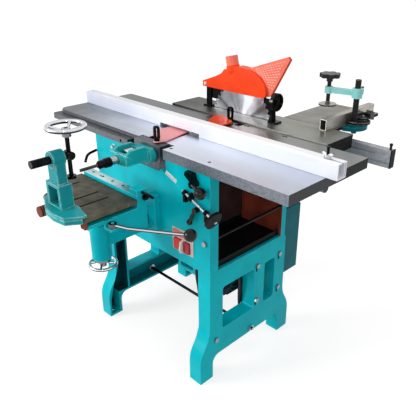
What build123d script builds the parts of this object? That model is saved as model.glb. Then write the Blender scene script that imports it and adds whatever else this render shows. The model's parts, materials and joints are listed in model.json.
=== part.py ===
"""Combination woodworking machine: a planer with an inclined infeed table, a circular saw with a
sliding table and a slot mortiser, all driven by one spindle on a cast body with two leg frames.

Millimetres. X runs along the planer tables, Y from the mortiser side to the saw side, Z is up.
The origin is on the floor, at the middle of the four anchor holes in the feet.
"""
import os
from math import atan2, cos, degrees, hypot, pi, radians, sin, tan

from build123d import *

# Fits and gaps
slide_gap = 0.3
shaft_fit = 0.05
pivot_fit = 0.1
cut_over = 1.0

# Planer tables
table_height = 800.0
table_length = 1162.0
table_width = 384.0
table_front = -200.0
table_thickness = 33.0
table_rim = 12.0
table_skin = 13.0
table_corner = 7.0
rebate_depth = 12.0
rebate_width = 33.0
rebate_stop = 22.0
infeed_notch = 25.0
table_hole_radius = 5.0
table_hole_depth = 8.0

# Fence
fence_length = 1197.0
fence_height = 47.0
fence_width = 42.0
fence_face = -40.0
fence_wall = 3.5
notch_left = -110.0
notch_right = 89.0
notch_height = 12.0
stud_back = 49.0
stud_radius = 4.0
stud_height = 34.0
wing_nut_radius = 10.0
wing_nut_height = 12.0
wing_thickness = 4.4

# Spindle and what turns with it
cutter_diameter = 60.0
cutter_length = 296.0
knife_count = 3
knife_width = 13.0
knife_thickness = 3.0
knife_stand = 1.0
chip_groove_radius = 7.0
shaft_diameter = 25.0
lip_gap = 6.0
blade_diameter = 300.0
blade_thickness = 2.4
blade_offset = 82.0
tooth_count = 40
tooth_depth = 9.0
collar_radius = 24.0
collar_width = 6.0
arbor_nut_across = 36.0
arbor_nut_length = 10.0
pulley_gap = 8.0
pulley_width = 24.0
spindle_pulley_radius = 26.0
motor_pulley_radius = 40.0
belt_width = 13.0
belt_depth = 8.0
chuck_diameter = 26.0
chuck_length = 25.0
chuck_nose = 6.0
chuck_reach = 54.0
drill_diameter = 10.0
drill_reach = 60.0
drill_grip = 16.0
flute_radius = 2.6

# Cast body
body_length = 590.0
body_inset = 7.0
body_overhang = 6.0
body_bottom = 422.0
wall = 14.0
end_front = 38.0
end_rear = 25.0
end_beam = 60.0
sill = 9.0
way_drop = 22.4
way_below_axis = 43.0
seat_half = 68.0
seat_below_axis = 52.0
seat_height = 40.0
housing_inset = 2.0
housing_front_depth = 38.0
housing_rear_depth = 28.0
housing_gap = 4.0
partition_x = 88.0
partition_thickness = 10.0
partition_gap = 28.0
arm_width = 40.0
left_arm_in = 65.0
right_arm_in = 95.0
arm_drop = 152.0
arm_toe = 25.0
hanger_left = 112.0
hanger_width = 84.0
hanger_depth = 38.0
hanger_height = 52.0
hanger_bar = 12.0

# Feed screw of the infeed table, its handwheel and the two levers
screw_rise = 12.0
screw_out = 10.0
screw_radius = 4.5
lug_in = 13.0
lug_pitch = 92.0
lug_radius = 9.0
lug_length = 12.0
nut_step = 26.0
nut_length = 14.0
feed_wheel_out = 19.0
feed_wheel_radius = 30.0
feed_wheel_width = 10.0
feed_wheel_notches = 12
ball_radius = 19.0
lock_in = 55.0
lock_drop = 38.0
lock_out = 26.0
lock_hub_radius = 11.0
lever_radius = 6.5
slide_lock_in = 52.0
slide_lock_drop = 12.0
slide_lock_hub_radius = 9.0
slide_lock_reach = 46.0
slide_lock_tip_radius = 10.0

# Leg frames
leg_depth = 56.0
leg_web = 12.0
leg_rim = 10.0
leg_step = 8.0
foot_reach = 238.0
foot_length = 60.0
foot_height = 75.0
flare_top = 215.0
flare_pull = 72.0
rail_bottom = 90.0
rail_top = 187.0
rail_corner = 30.0
frame_opening_top = 354.0
opening_round = 10.0
front_leg_width = 61.0
post_width = 55.5
rear_opening_width = 56.0
rear_leg_width = 59.0
anchor_hole = 14.0
tie_y = 12.0
tie_z = 112.0
tie_radius = 6.0
tie_out = 16.0
tie_nut_across = 20.0
tie_nut_height = 10.0
bolt_radius = 5.0
bolt_across = 17.0
bolt_head_height = 7.0
bolt_slot = 20.0
leg_bolt_y = -165.0
leg_bolt_z = 157.0
wall_bolt_in = 22.0
wall_bolt_rise = 112.0

# Motor
motor_radius = 80.0
motor_length = 226.0
motor_gap = 2.0
motor_foot_height = 90.0
motor_z = 289.0
motor_bolt_back = 26.0
motor_bolt_pitch = 122.0
motor_bolt_rise = 72.0
motor_shaft_radius = 12.0
motor_shaft_depth = 85.0
motor_shield = 22.0
motor_shield_step = 16.0
fin_height = 8.0
fin_thickness = 3.2
fin_count = 28
foot_plate = 14.0
foot_width = 30.0
foot_over = 18.0
box_width = 80.0
box_height = 40.0
gland_radius = 8.0
gland_reach = 20.0
cable_radius = 5.0

# Belt cover and chip tray
cover_depth = 85.0
cover_sheet = 2.0
cover_top = 600.0
cover_left = -60.0
tray_sheet = 3.0
tray_lip = 22.0
clip_size = 18.0

# Planer guards
guard_lift = 2.0
guard_plate = 4.0
guard_pin_radius = 5.0
guard_boss = 12.0
front_guard_in = 16.0
front_guard_x = 28.0
front_guard_heel = 21.0
front_guard_heel_back = 18.0
front_guard_toe = 4.0
front_guard_length = 90.0
front_guard_side = 68.0
front_guard_under = 12.0
rear_guard_in = 18.0
rear_guard_x = 34.0
rear_guard_shoulder = 38.0
rear_guard_drop = 30.0
rear_guard_toe = 30.0
rear_guard_length = 96.0
rear_guard_side = 110.0
rear_guard_under = 6.0
loop_width = 25.0
loop_height = 46.0
loop_bar = 6.0
loop_thickness = 8.0

# Saw table and sliding table
saw_step = 6.0
saw_plate = 8.0
saw_left = -308.0
saw_length = 746.0
saw_gap = 2.0
saw_width = 153.0
saw_rib = 9.0
saw_rib_drop = 47.0
slot_width = 9.0
slot_room = 12.0
plate_corner = 5.0
rail_left = -235.0
rail_length = 800.0
rail_gap = 21.0
rail_depth = 26.0
rail_drop = 94.0
rail_height = 61.0
rail_groove = 8.0
rail_groove_depth = 5.0
rail_wall = 9.0
slider_left = 144.0
slider_length = 220.0
slider_width = 300.0
slider_plate = 12.0
carriage_inset = 20.0
carriage_wall = 14.0
slider_rib = 8.0
end_bracket_radius = 58.0
end_bracket_plate = 14.0
end_bracket_back = 103.0

# Mitre fence and work clamp
mitre_out = 13.0
mitre_back = 128.0
mitre_radius = 43.0
mitre_plate = 9.0
tube_inset = 33.0
tube_width = 25.0
tube_height = 38.5
tube_wall = 2.5
tube_over = 43.0
tube_length = 317.0
mitre_knob_back = 57.0
mitre_knob_radius = 16.0
mitre_knob_height = 24.0
mitre_knob_out = 20.0
clamp_post_radius = 10.0
clamp_post_height = 157.0
clamp_arm_rise = 111.0
clamp_reach_x = -100.0
clamp_reach_y = -22.0
clamp_boss_radius = 18.0
clamp_boss_height = 34.0
clamp_eye_radius = 14.0
clamp_eye_height = 24.0
clamp_beam_width = 14.0
clamp_beam_height = 20.0
clamp_screw_radius = 7.0
clamp_bolt_radius = 4.0
pad_rise = 56.0
pad_radius = 31.5
pad_thickness = 6.0
star_rise = 154.0
star_radius = 36.5
star_height = 14.0

# Saw guard and its posts
hood_width = 36.0
hood_wall = 3.0
hood_rise = 78.0
hood_tail = -192.0
hood_nose = 128.0
hood_height = 97.0
hood_wing = 14.0
hood_crown = -14.0
hood_chin = 15.0
hood_chin_rise = 11.0
hood_nose_pull = 57.0
hood_crown_pull = 86.0
hood_step_x = -78.0
hood_step_drop = 19.0
hood_ledge_x = -92.0
hood_ledge_drop = 35.0
hood_slope_x = -120.0
hood_slope_drop = 49.0
hood_tail_drop = 76.0
wing_reach = 88.0
wing_rise = 144.0
wing_root_x = 28.0
wing_root_rise = 92.0
wing_neck_x = 72.0
wing_neck_rise = 76.0
wing_heel = 16.0
wing_heel_rise = 15.0
wing_tip = 10.0
hood_pivot_in = 16.0
hood_pivot_rise = 12.0
hood_pin_radius = 4.0
port_radius = 23.0
port_x = -44.0
port_drop = 21.0
port_length = 54.4
port_foot = 20.0
port_foot_step = 2.0
port_neck = 16.0
port_neck_inset = 1.0
port_lean = 13.0
saw_post_thickness = 8.0
saw_post_width = 25.0
saw_post_gap = 9.0
saw_post_eye = 7.0
post_foot_plate = 6.0
knob_post_width = 20.0
knob_post_thickness = 10.0
post_knob_rise = 74.0
post_knob_radius = 32.0
post_knob_height = 13.0
post_knob_pin = 4.0
post_knob_hub = 9.0

# Mortiser
mortise_drop = 80.0
mortise_plate = 14.0
mortise_left = -159.0
mortise_length = 301.0
mortise_width = 182.0
mortise_gap = 150.0
mortise_cut_x = 76.0
mortise_cut_y = 100.0
mortise_groove = 7.0
head_half = 38.0
head_length = 110.0
head_height = 36.0
head_wall = 10.0
head_rise = 13.0
head_slope = 20.0
head_front_wall = 14.0
head_rear_wall = 36.0
head_boss = 24.0
head_nose_radius = 18.0
head_nose = 8.0
column_x = -9.0
column_back = 45.0
column_radius = 33.0
sleeve_length = 125.0
sleeve_drop = 87.0
bracket_plate = 20.0
bracket_half = 30.0
bracket_left = 40.0
bracket_right = 71.0
bracket_height = 75.0
upright_width = 38.0
upright_low = 55.0
upright_rise = 59.0
upright_step = 4.0
web_drop = 17.0
pinch_left = 50.0
pinch_right = 20.0
pinch_front = 26.0
pinch_depth = 16.0
pinch_drop = 8.0
pinch_height = 22.0
pinch_screw_radius = 5.0
pinch_screw_length = 10.0
ram_radius = 23.0
ram_length = 157.0
lift_screw_radius = 8.0
lift_screw_length = 140.0
column_wheel_radius = 49.0
column_wheel_rim = 5.5
column_wheel_hub = 12.0
column_wheel_drop = 31.0
thrust_collar = 8.0
saddle_left = -85.0
saddle_length = 223.0
saddle_plate = 11.0
saddle_inset = 15.0
cheek = 12.0
cheek_height = 75.0
guide_left = -150.0
guide_depth = 35.0
guide_height = 10.0
guide_gap = 2.0
pivot_out = 24.0
pivot_front = 77.0
pivot_radius = 5.0
pivot_hub_radius = 12.0
table_lever_radius = 5.0
table_lever_x = 195.0
table_lever_y = 118.0
hold_x = 31.0
hold_front = 40.0
hold_rod_rise = 149.0
hold_rod_radius = 11.7
hold_rod_length = 116.0
hold_eye_radius = 24.0
hold_box_left = 38.0
hold_box_right = 34.0
hold_box_out = 22.0
hold_box_in = 20.0
hold_box_height = 80.0
hold_box_wall = 10.0
hold_box_floor = 12.0
hold_flange = 9.0
hold_flange_left = 8.0
hold_flange_right = 20.0
hold_flange_back = 7.0
hold_neck = 50.0
hold_neck_top = 44.0
hold_neck_inset = 6.0
hold_collar = 15.0
hold_screw_radius = 6.3
hold_foot_rise = 80.0
hold_foot_radius = 14.0
hold_foot_height = 8.0
hold_wheel_rise = 203.0
hold_wheel_radius = 58.0
hold_wheel_rim = 6.5
hold_wheel_hub = 13.0
hold_wheel_height = 24.0
hold_wheel_dish = 16.0

# Switch
switch_left = 124.0
switch_width = 98.0
switch_rise = 42.0
switch_height = 80.0
switch_plate = 4.0
switch_bezel = 3.0
button_rise = 6.0
button_height = 42.0
button_thickness = 8.0
button_travel = 3.0
stop_left = 12.0
stop_width = 40.0
start_left = 60.0
start_width = 28.0
button_corner = 8.0

# Planer side: values that follow from those above
half_table = table_length / 2
half_body = body_length / 2
table_rear = table_front + table_width
table_low = table_height - table_thickness
pocket_top = table_height - table_skin
plate_front = table_front + rebate_width
body_front = table_front + body_inset
body_rear = table_rear + body_overhang
cutter_radius = cutter_diameter / 2
half_cut = cutter_length / 2
shaft_radius = shaft_diameter / 2
spindle_z = table_height - cutter_radius
seat_z = spindle_z - seat_below_axis
way_slope = tan(radians(way_drop))
way_direction = (cos(radians(way_drop)), 0, -sin(radians(way_drop)))
screw_y = body_front - screw_out
lug_right = half_body - lug_in
lug_left = lug_right - lug_pitch
nut_x = lug_left + nut_step
feed_wheel_x = half_body + feed_wheel_out
lock_x = half_body - lock_in
slide_lock_x = half_body - slide_lock_in
wall_bolt_x = half_body - wall_bolt_in
arm_left = -half_body + left_arm_in
arm_right = half_body - right_arm_in
housing_start = half_cut + housing_gap
front_housing_end = -housing_start - housing_front_depth
rear_housing_end = housing_start + housing_rear_depth
lip = cutter_radius + lip_gap
lip_half = housing_start - housing_inset
fence_low = table_height + slide_gap
fence_top = table_height + fence_height
fence_left = -half_table
fence_right = fence_left + fence_length
fence_back = fence_face + fence_width
fence_middle = (fence_face + fence_back) / 2
guard_low = table_height + guard_lift
guard_top = guard_low + guard_plate
front_pivot = (front_guard_x, -housing_start - front_guard_in)
rear_pivot = (rear_guard_x, housing_start + rear_guard_in)

# Leg frames and motor: values that follow
frame_inside = half_body - leg_depth
outer_face = half_body - leg_web
leg_rear = body_rear + leg_step
foot_inside = foot_reach - foot_length
front_leg_back = body_front + front_leg_width
rear_post = leg_rear - rear_leg_width
post_back = rear_post - rear_opening_width
post_front = post_back - post_width
motor_x = frame_inside - motor_foot_height
motor_rear = body_rear - motor_gap
motor_front = motor_rear - motor_length
motor_bolt_rear = motor_rear - motor_bolt_back
motor_bolt_y = (motor_bolt_rear - motor_bolt_pitch, motor_bolt_rear)
motor_bolt_z = (motor_z - motor_bolt_rise, motor_z + motor_bolt_rise)
pulley_front = body_rear + pulley_gap
pulley_rear = pulley_front + pulley_width
belt_front = pulley_front + (pulley_width - belt_width) / 2
belt_rear = belt_front + belt_width
box_low = motor_z + motor_radius - 3
gland_x = motor_x + 73
gland_y = motor_front + 46
gland_low = box_low - 14
gland_lean = (14, -1, -27)
tray_low = body_bottom + sill

# Saw side: values that follow
saw_top = table_height + saw_step
saw_under = saw_top - saw_plate
saw_front = table_rear + saw_gap
saw_rear = saw_front + saw_width
blade_radius = blade_diameter / 2
blade_centre = saw_front + blade_offset
blade_front = blade_centre - blade_thickness / 2
blade_back = blade_centre + blade_thickness / 2
nut_end = blade_back + collar_width + arbor_nut_length
rail_front = saw_rear + rail_gap
rail_rear = rail_front + rail_depth
rail_low = saw_top - rail_drop
rail_high = rail_low + rail_height
rail_right = rail_left + rail_length
slider_right = slider_left + slider_length
slider_front = saw_rear + saw_gap
slider_rear = slider_front + slider_width
slider_under = saw_top - slider_plate
mitre_x = slider_right + mitre_out
mitre_y = saw_rear + mitre_back
disc_low = saw_top + slide_gap
disc_top = disc_low + mitre_plate
tube_left = slider_right - tube_inset
tube_right = tube_left + tube_width
tube_front = saw_rear - tube_over
tube_rear = tube_front + tube_length
tube_low = saw_top + 0.5
tube_top = tube_low + tube_height
clamp_post = (mitre_x + 1, mitre_y - 30)
clamp_eye = (clamp_post[0] + clamp_reach_x, clamp_post[1] + clamp_reach_y)
clamp_arm_z = saw_top + clamp_arm_rise
clamp_bolt_z = clamp_arm_z + 4
pad_low = saw_top + pad_rise
star_low = saw_top + star_rise
hood_low = saw_top + hood_rise
hood_front = blade_centre - hood_width / 2
hood_back = blade_centre + hood_width / 2
hood_pivot_x = hood_tail + hood_pivot_in
hood_pivot_z = hood_low + hood_pivot_rise
saw_post_right = -blade_radius - saw_post_gap
saw_post_left = saw_post_right - saw_post_width
knob_post_y = blade_centre - 10
knob_post_x = blade_radius
post_knob_z = saw_top + post_knob_rise

# Mortiser: values that follow
mortise_top = spindle_z - mortise_drop
mortise_right = mortise_left + mortise_length
mortise_rear = body_front - mortise_gap
mortise_front = mortise_rear - mortise_width
head_front = front_housing_end - head_length
chuck_rear = head_front - chuck_reach
chuck_front = chuck_rear - chuck_length
drill_tip = chuck_front - drill_reach
column_y = mortise_rear - column_back
saddle_top = mortise_top - 2 * mortise_plate
saddle_low = saddle_top - saddle_plate
saddle_right = saddle_left + saddle_length
saddle_front = mortise_front + saddle_inset
guide_front = mortise_rear + guide_gap
guide_rear = guide_front + guide_depth
sleeve_top = saddle_top - sleeve_drop
sleeve_low = sleeve_top - sleeve_length
ram_low = saddle_top - ram_length
lever_y = mortise_front + pivot_front
lever_z = saddle_top - 9
pivot_x = saddle_right + pivot_out
hold_y = mortise_front + hold_front
hold_rod_z = mortise_top + hold_rod_rise
hold_wheel_z = mortise_top + hold_wheel_rise


def way_z(x):
    """Height of the inclined way that carries the infeed table."""
    return spindle_z - way_below_axis - way_slope * (x - seat_half)


def block(x0, x1, y0, y1, z0, z1):
    return Pos((x0 + x1) / 2, (y0 + y1) / 2, (z0 + z1) / 2) * Box(x1 - x0, y1 - y0, z1 - z0)


def rod_x(radius, x0, x1, y, z):
    return Pos((x0 + x1) / 2, y, z) * Rot(0, 90, 0) * Cylinder(radius, x1 - x0)


def rod_y(radius, x, y0, y1, z):
    return Pos(x, (y0 + y1) / 2, z) * Rot(90, 0, 0) * Cylinder(radius, y1 - y0)


def rod_z(radius, x, y, z0, z1):
    return Pos(x, y, (z0 + z1) / 2) * Cylinder(radius, z1 - z0)


def straight_bar(start, end, radius):
    """Round bar between two points."""
    path = Line(start, end)
    return sweep(Plane(path @ 0, z_dir=path % 0) * Circle(radius), path)


def side_plate(points, y0, y1):
    """Plate with its outline in X and Z."""
    return extrude(Plane.XZ.offset(-y1) * make_face(Polyline(*points, close=True)), y1 - y0)


def end_plate(points, x0, x1):
    """Plate with its outline in Y and Z."""
    return extrude(Plane.YZ.offset(x0) * make_face(Polyline(*points, close=True)), x1 - x0)


def flat_plate(points, z0, z1):
    """Plate with its outline in X and Y."""
    return extrude(Plane.XY.offset(z0) * make_face(Polyline(*points, close=True)), z1 - z0)


def hexagon_x(across, x0, x1, y, z):
    """Hexagon nut or bolt head with its axis along X."""
    outline = RegularPolygon(across / 2, 6, major_radius=False)
    return extrude(Plane.YZ.offset(x0) * Pos(y, z) * outline, x1 - x0)


def hexagon_y(across, x, y0, y1, z):
    """Hexagon bolt head with its axis along Y."""
    outline = RegularPolygon(across / 2, 6, major_radius=False)
    return extrude(Plane.XZ.offset(-y1) * Pos(x, z) * outline, y1 - y0)


def hand_wheel(outer_radius, rim_radius, hub_radius, hub_height, bore, dish, spokes):
    """Handwheel about Z with its hub from zero up and its rim raised by the dish."""
    rim_z = hub_height / 2 + dish
    ring = outer_radius - rim_radius
    wheel = Pos(0, 0, rim_z) * Torus(ring, rim_radius)
    wheel += rod_z(hub_radius, 0, 0, 0, hub_height)
    for step in range(spokes):
        spoke = straight_bar((0, 0, hub_height / 2), (ring, 0, rim_z), rim_radius * 0.7)
        wheel += Rot(0, 0, 360 * (step + 0.5) / spokes) * spoke
    return wheel - rod_z(bore, 0, 0, -cut_over, hub_height + cut_over)


def lobed_knob(outer_radius, height, lobes, hub_radius, hub_length, bore):
    """Lobed grip about Z, with its hub below zero."""
    lobe_radius = outer_radius * 0.3
    knob = rod_z(outer_radius * 0.8, 0, 0, 0, height)
    for step in range(lobes):
        lobe = rod_z(lobe_radius, outer_radius - lobe_radius, 0, 0, height)
        knob += Rot(0, 0, 360 * step / lobes) * lobe
    knob += rod_z(hub_radius, 0, 0, -hub_length, 0)
    return knob - rod_z(bore, 0, 0, -hub_length - cut_over, height / 2)


def on_screw(x):
    """Point of the feed screw's axis at a given X."""
    return (x, screw_y, way_z(x) + screw_rise)


def along_screw(x, length, radius):
    """Cylinder on the feed screw's axis, starting at a given X."""
    return extrude(Plane(on_screw(x), z_dir=way_direction) * Circle(radius), length)


def saw_arm(x0):
    """Arm on the rear wall that carries the saw table and the rail of the sliding table."""
    arm_foot = rail_low - arm_drop
    ledge = rail_high - 3
    outline = [
        (body_rear, arm_foot), (body_rear + arm_toe, arm_foot), (rail_front, rail_low), (rail_front, ledge),
        (saw_rear, ledge), (saw_rear, saw_under), (body_rear, saw_under),
    ]
    return end_plate(outline, x0, x0 + arm_width)


def screw_lug(x):
    """Lug on the front wall that holds the feed screw."""
    lug = along_screw(x, lug_length, lug_radius)
    foot_low = way_z(x) - 22
    return lug + block(x - 1, x + lug_length - 1, screw_y - 4, body_front, foot_low, way_z(x) + screw_rise)


def chute_hanger():
    """Loop under the front wall's foot, cast to carry a chip chute."""
    right = hanger_left + hanger_width
    front = body_front + wall + 14
    back = front + hanger_depth
    hanger = block(hanger_left, right, front, back, body_bottom - hanger_height, body_bottom)
    hanger -= block(hanger_left + hanger_bar, right - hanger_bar, front - cut_over, back + cut_over,
                    body_bottom - hanger_height + hanger_bar, body_bottom + cut_over)
    return hanger + block(hanger_left, right, body_front + wall, back, body_bottom, body_bottom + sill - 1)


def main_casting():
    """Cast body: front and rear walls, end flanges, a partition and the seats of the bearing housings."""
    outline = [
        (-half_body, body_bottom), (half_body, body_bottom), (half_body, way_z(half_body)),
        (seat_half, way_z(seat_half)), (seat_half, seat_z), (-seat_half, seat_z), (-seat_half, table_low),
        (-half_body, table_low),
    ]
    body = side_plate(outline, body_front, body_front + wall)
    body += side_plate(outline, body_rear - wall, body_rear)
    whole = side_plate(outline, body_front, body_rear)
    for x0 in (-half_body, half_body - wall):
        x1 = x0 + wall
        body += whole & block(x0, x1, body_front, body_front + end_front, body_bottom, table_low)
        body += whole & block(x0, x1, body_rear - end_rear, body_rear, body_bottom, table_low)
        body += block(x0, x1, body_front, body_rear, body_bottom, tray_low)
    body += block(-half_body, -half_body + wall, body_front, body_rear, table_low - end_beam, table_low)
    body += block(partition_x, partition_x + partition_thickness, body_front, body_rear,
                  body_bottom + partition_gap, seat_z - partition_gap)
    seat_low = seat_z - seat_height
    body += block(-seat_half, seat_half, body_front, -housing_start, seat_low, seat_z)
    body += block(-seat_half, seat_half, housing_start, body_rear, seat_low, seat_z)
    for x0 in (arm_left, arm_right):
        body += saw_arm(x0)
    for x in (lug_left, lug_right):
        body += screw_lug(x)
    for x in (lug_left, lug_right):
        body -= along_screw(x - 5, lug_length + 12, screw_radius + slide_gap)
    return body + chute_hanger()


def frame_outline():
    """Edges of a leg frame in Y and Z: two flared feet, a low arch between them and a square top."""
    edges = [
        Line((-foot_reach, 0), (-foot_inside, 0)),
        Line((-foot_inside, 0), (-foot_inside, rail_bottom - rail_corner)),
        RadiusArc((-foot_inside, rail_bottom - rail_corner), (-foot_inside + rail_corner, rail_bottom),
                  rail_corner),
        Line((-foot_inside + rail_corner, rail_bottom), (foot_inside - rail_corner, rail_bottom)),
        RadiusArc((foot_inside - rail_corner, rail_bottom), (foot_inside, rail_bottom - rail_corner),
                  rail_corner),
        Line((foot_inside, rail_bottom - rail_corner), (foot_inside, 0)),
        Line((foot_inside, 0), (foot_reach, 0)),
        Line((leg_rear, flare_top), (leg_rear, body_bottom)),
        Line((leg_rear, body_bottom), (body_front, body_bottom)),
        Line((body_front, body_bottom), (body_front, flare_top)),
    ]
    for foot, leg in ((foot_reach, leg_rear), (-foot_reach, body_front)):
        edges.append(Line((foot, 0), (foot, foot_height)))
        edges.append(Bezier((foot, foot_height), (foot, foot_height + flare_pull),
                            (leg, flare_top - flare_pull), (leg, flare_top)))
    return edges


def frame_opening(y0, y1):
    """Rounded window between the lower rail and the top of a leg frame."""
    height = frame_opening_top - rail_top
    place = Pos((y0 + y1) / 2, (frame_opening_top + rail_top) / 2)
    return place * RectangleRounded(y1 - y0, height, opening_round)


def frame_pockets():
    """Outlines of the hollows that leave a rim and a web on the inside of a leg frame."""
    rail_low_edge = rail_bottom + leg_rim
    rail_high_edge = rail_top - leg_rim
    top_edge = body_bottom - leg_rim
    front_leg = [
        (-foot_reach + leg_rim, leg_rim), (-foot_inside - leg_rim, leg_rim),
        (-foot_inside - leg_rim, rail_low_edge),
        (front_leg_back - leg_rim, rail_low_edge), (front_leg_back - leg_rim, top_edge),
        (body_front + leg_rim, top_edge), (body_front + leg_rim, flare_top),
        (-foot_reach + leg_rim + 16, foot_height + 60), (-foot_reach + leg_rim, foot_height),
    ]
    knee = foot_inside + leg_rim - 12
    rear_foot = [
        (foot_inside + leg_rim, leg_rim), (foot_reach - leg_rim, leg_rim),
        (foot_reach - leg_rim, foot_height),
        (foot_reach - leg_rim - 14, foot_height + 60), (leg_rear - leg_rim, rail_high_edge),
        (knee, rail_high_edge),
        (knee, rail_low_edge), (foot_inside + leg_rim, rail_bottom),
    ]
    rail_end = foot_inside - 20
    lower_rail = [
        (front_leg_back, rail_low_edge), (rail_end, rail_low_edge), (rail_end, rail_high_edge),
        (front_leg_back, rail_high_edge),
    ]
    upper_rail = [
        (front_leg_back, frame_opening_top + leg_rim),
        (leg_rear - leg_rim, frame_opening_top + 2.5 * leg_rim),
        (leg_rear - leg_rim, top_edge), (front_leg_back, top_edge),
    ]
    return front_leg, rear_foot, lower_rail, upper_rail


def plain_leg_frame():
    """Ribbed casting of one leg frame, with anchor holes in its soles and a hole for the tie rod."""
    face = make_face(frame_outline())
    face -= frame_opening(front_leg_back, post_front)
    face -= frame_opening(post_back, rear_post)
    frame = extrude(Plane.YZ.offset(frame_inside) * face, leg_depth)
    for points in frame_pockets():
        frame -= end_plate(points, frame_inside - cut_over, outer_face)
    anchor_x = half_body - leg_depth / 2
    anchor_y = foot_reach - foot_length / 2
    for y in (-anchor_y, anchor_y):
        frame -= rod_z(anchor_hole / 2, anchor_x, y, -cut_over, leg_rim + cut_over)
    return frame - rod_x(tie_radius + slide_gap, frame_inside - cut_over, half_body + cut_over, tie_y,
                         tie_z)


def motor_leg_frame(frame):
    """Leg frame with upright slots for the motor's bolts, so that the belt can be tightened."""
    slot_radius = bolt_radius + slide_gap
    x0 = frame_inside - cut_over
    x1 = half_body + cut_over
    for y in motor_bolt_y:
        for z in motor_bolt_z:
            frame -= block(x0, x1, y - slot_radius, y + slot_radius, z - bolt_slot, z)
            frame -= rod_x(slot_radius, x0, x1, y, z)
            frame -= rod_x(slot_radius, x0, x1, y, z - bolt_slot)
    return frame - rod_x(bolt_radius, outer_face - cut_over, x1, leg_bolt_y, leg_bolt_z)


def tie_rod():
    """Rod through the lower rails, with a nut on each end."""
    pieces = [rod_x(tie_radius, -half_body - 2, half_body + tie_out, tie_y, tie_z)]
    for x0 in (half_body, -outer_face):
        x1 = x0 + tie_nut_height
        nut = hexagon_x(tie_nut_across, x0, x1, tie_y, tie_z)
        pieces.append(nut - rod_x(tie_radius, x0 - cut_over, x1 + cut_over, tie_y, tie_z))
    return Compound(children=pieces)


def frame_fasteners():
    """Hexagon bolts: four hold the motor, one is in the leg and one in the front wall."""
    head_end = half_body + bolt_head_height
    bolts = []
    for y in motor_bolt_y:
        for z in motor_bolt_z:
            bolt = hexagon_x(bolt_across, half_body, head_end, y, z)
            bolts.append(bolt + rod_x(bolt_radius, frame_inside - foot_plate - 8, half_body, y, z))
    leg_bolt = hexagon_x(bolt_across, half_body, head_end, leg_bolt_y, leg_bolt_z)
    bolts.append(leg_bolt + rod_x(bolt_radius, outer_face, half_body, leg_bolt_y, leg_bolt_z))
    wall_bolt_z = body_bottom + wall_bolt_rise
    bolts.append(hexagon_y(bolt_across, wall_bolt_x, body_front - bolt_head_height, body_front,
                           wall_bolt_z))
    return Compound(children=bolts)


def motor_body():
    """Finned motor with two bolted feet, an end shield and a terminal box with its cable gland."""
    shield_end = motor_front + motor_shield
    motor = rod_y(motor_radius, motor_x, shield_end, motor_rear, motor_z)
    motor += rod_y(motor_radius - motor_shield_step, motor_x, motor_front, shield_end, motor_z)
    fin = block(motor_radius - 4, motor_radius + fin_height, shield_end, motor_rear - motor_shield,
                -fin_thickness / 2, fin_thickness / 2)
    for step in range(fin_count):
        motor += Pos(motor_x, 0, motor_z) * Rot(0, 360 * step / fin_count, 0) * fin
    plate_inside = frame_inside - foot_plate
    for y in motor_bolt_y:
        y0 = y - foot_width / 2
        y1 = y + foot_width / 2
        foot = block(plate_inside, frame_inside, y0, y1, motor_bolt_z[0] - bolt_slot - 14,
                     motor_bolt_z[1] + foot_over)
        for z in motor_bolt_z:
            foot -= rod_x(bolt_radius, plate_inside - cut_over, frame_inside + cut_over, y, z)
        motor += foot + block(motor_x, plate_inside, y0, y1, motor_z - motor_radius / 2,
                              motor_z + motor_radius / 2)
    motor += block(motor_x - 30, gland_x + gland_radius + 1, gland_y - 14, gland_y - 14 + box_width,
                   box_low,
                   box_low + box_height)
    motor += extrude(Plane((gland_x, gland_y, gland_low), z_dir=gland_lean) * Circle(gland_radius),
                     -gland_reach)
    bore_start = motor_rear - motor_shaft_depth - 5
    return motor - rod_y(motor_shaft_radius + shaft_fit, motor_x, bore_start, motor_rear + cut_over,
                         motor_z)


def pulley(radius, x, z, bore):
    """Pulley about Y with one belt groove."""
    wheel = rod_y(radius, x, pulley_front, pulley_rear, z)
    groove = rod_y(radius + cut_over, x, belt_front - slide_gap, belt_rear + slide_gap, z)
    groove -= rod_y(radius - belt_depth - slide_gap, x, belt_front - cut_over, belt_rear + cut_over, z)
    return wheel - groove - rod_y(bore, x, pulley_front - cut_over, pulley_rear + cut_over, z)


def motor_pulley():
    """Pulley in one piece with the motor's shaft."""
    wheel = pulley(motor_pulley_radius, motor_x, motor_z, motor_shaft_radius / 2)
    return wheel + rod_y(motor_shaft_radius, motor_x, motor_rear - motor_shaft_depth, pulley_rear + 4,
                         motor_z)


def belt_loop(growth):
    """Outline of the belt round both pulleys, grown from the groove floors."""
    small = Pos(0, spindle_z) * Circle(spindle_pulley_radius - belt_depth + growth)
    large = Pos(motor_x, motor_z) * Circle(motor_pulley_radius - belt_depth + growth)
    return make_hull(small.edges() + large.edges())


def drive_belt():
    """Belt that lies in both grooves."""
    face = belt_loop(belt_depth - slide_gap) - belt_loop(0)
    return extrude(Plane.XZ.offset(-belt_rear) * face, belt_width)


def cover_outline(inset):
    """Outline of the belt cover in X and Z, drawn in by the sheet's thickness."""
    low = motor_z - motor_pulley_radius - 17 + inset
    right = half_body - inset
    top = cover_top - inset
    left = cover_left + inset
    return [
        (motor_x - 69 + inset, low), (motor_x + 71, low), (right, low + 30),
        (right, cover_top - 72 - inset),
        (right - 105 + inset, cover_top - 40 - inset), (right - 185 + inset, top), (left, top),
        (left, cover_top - 80),
    ]


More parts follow.
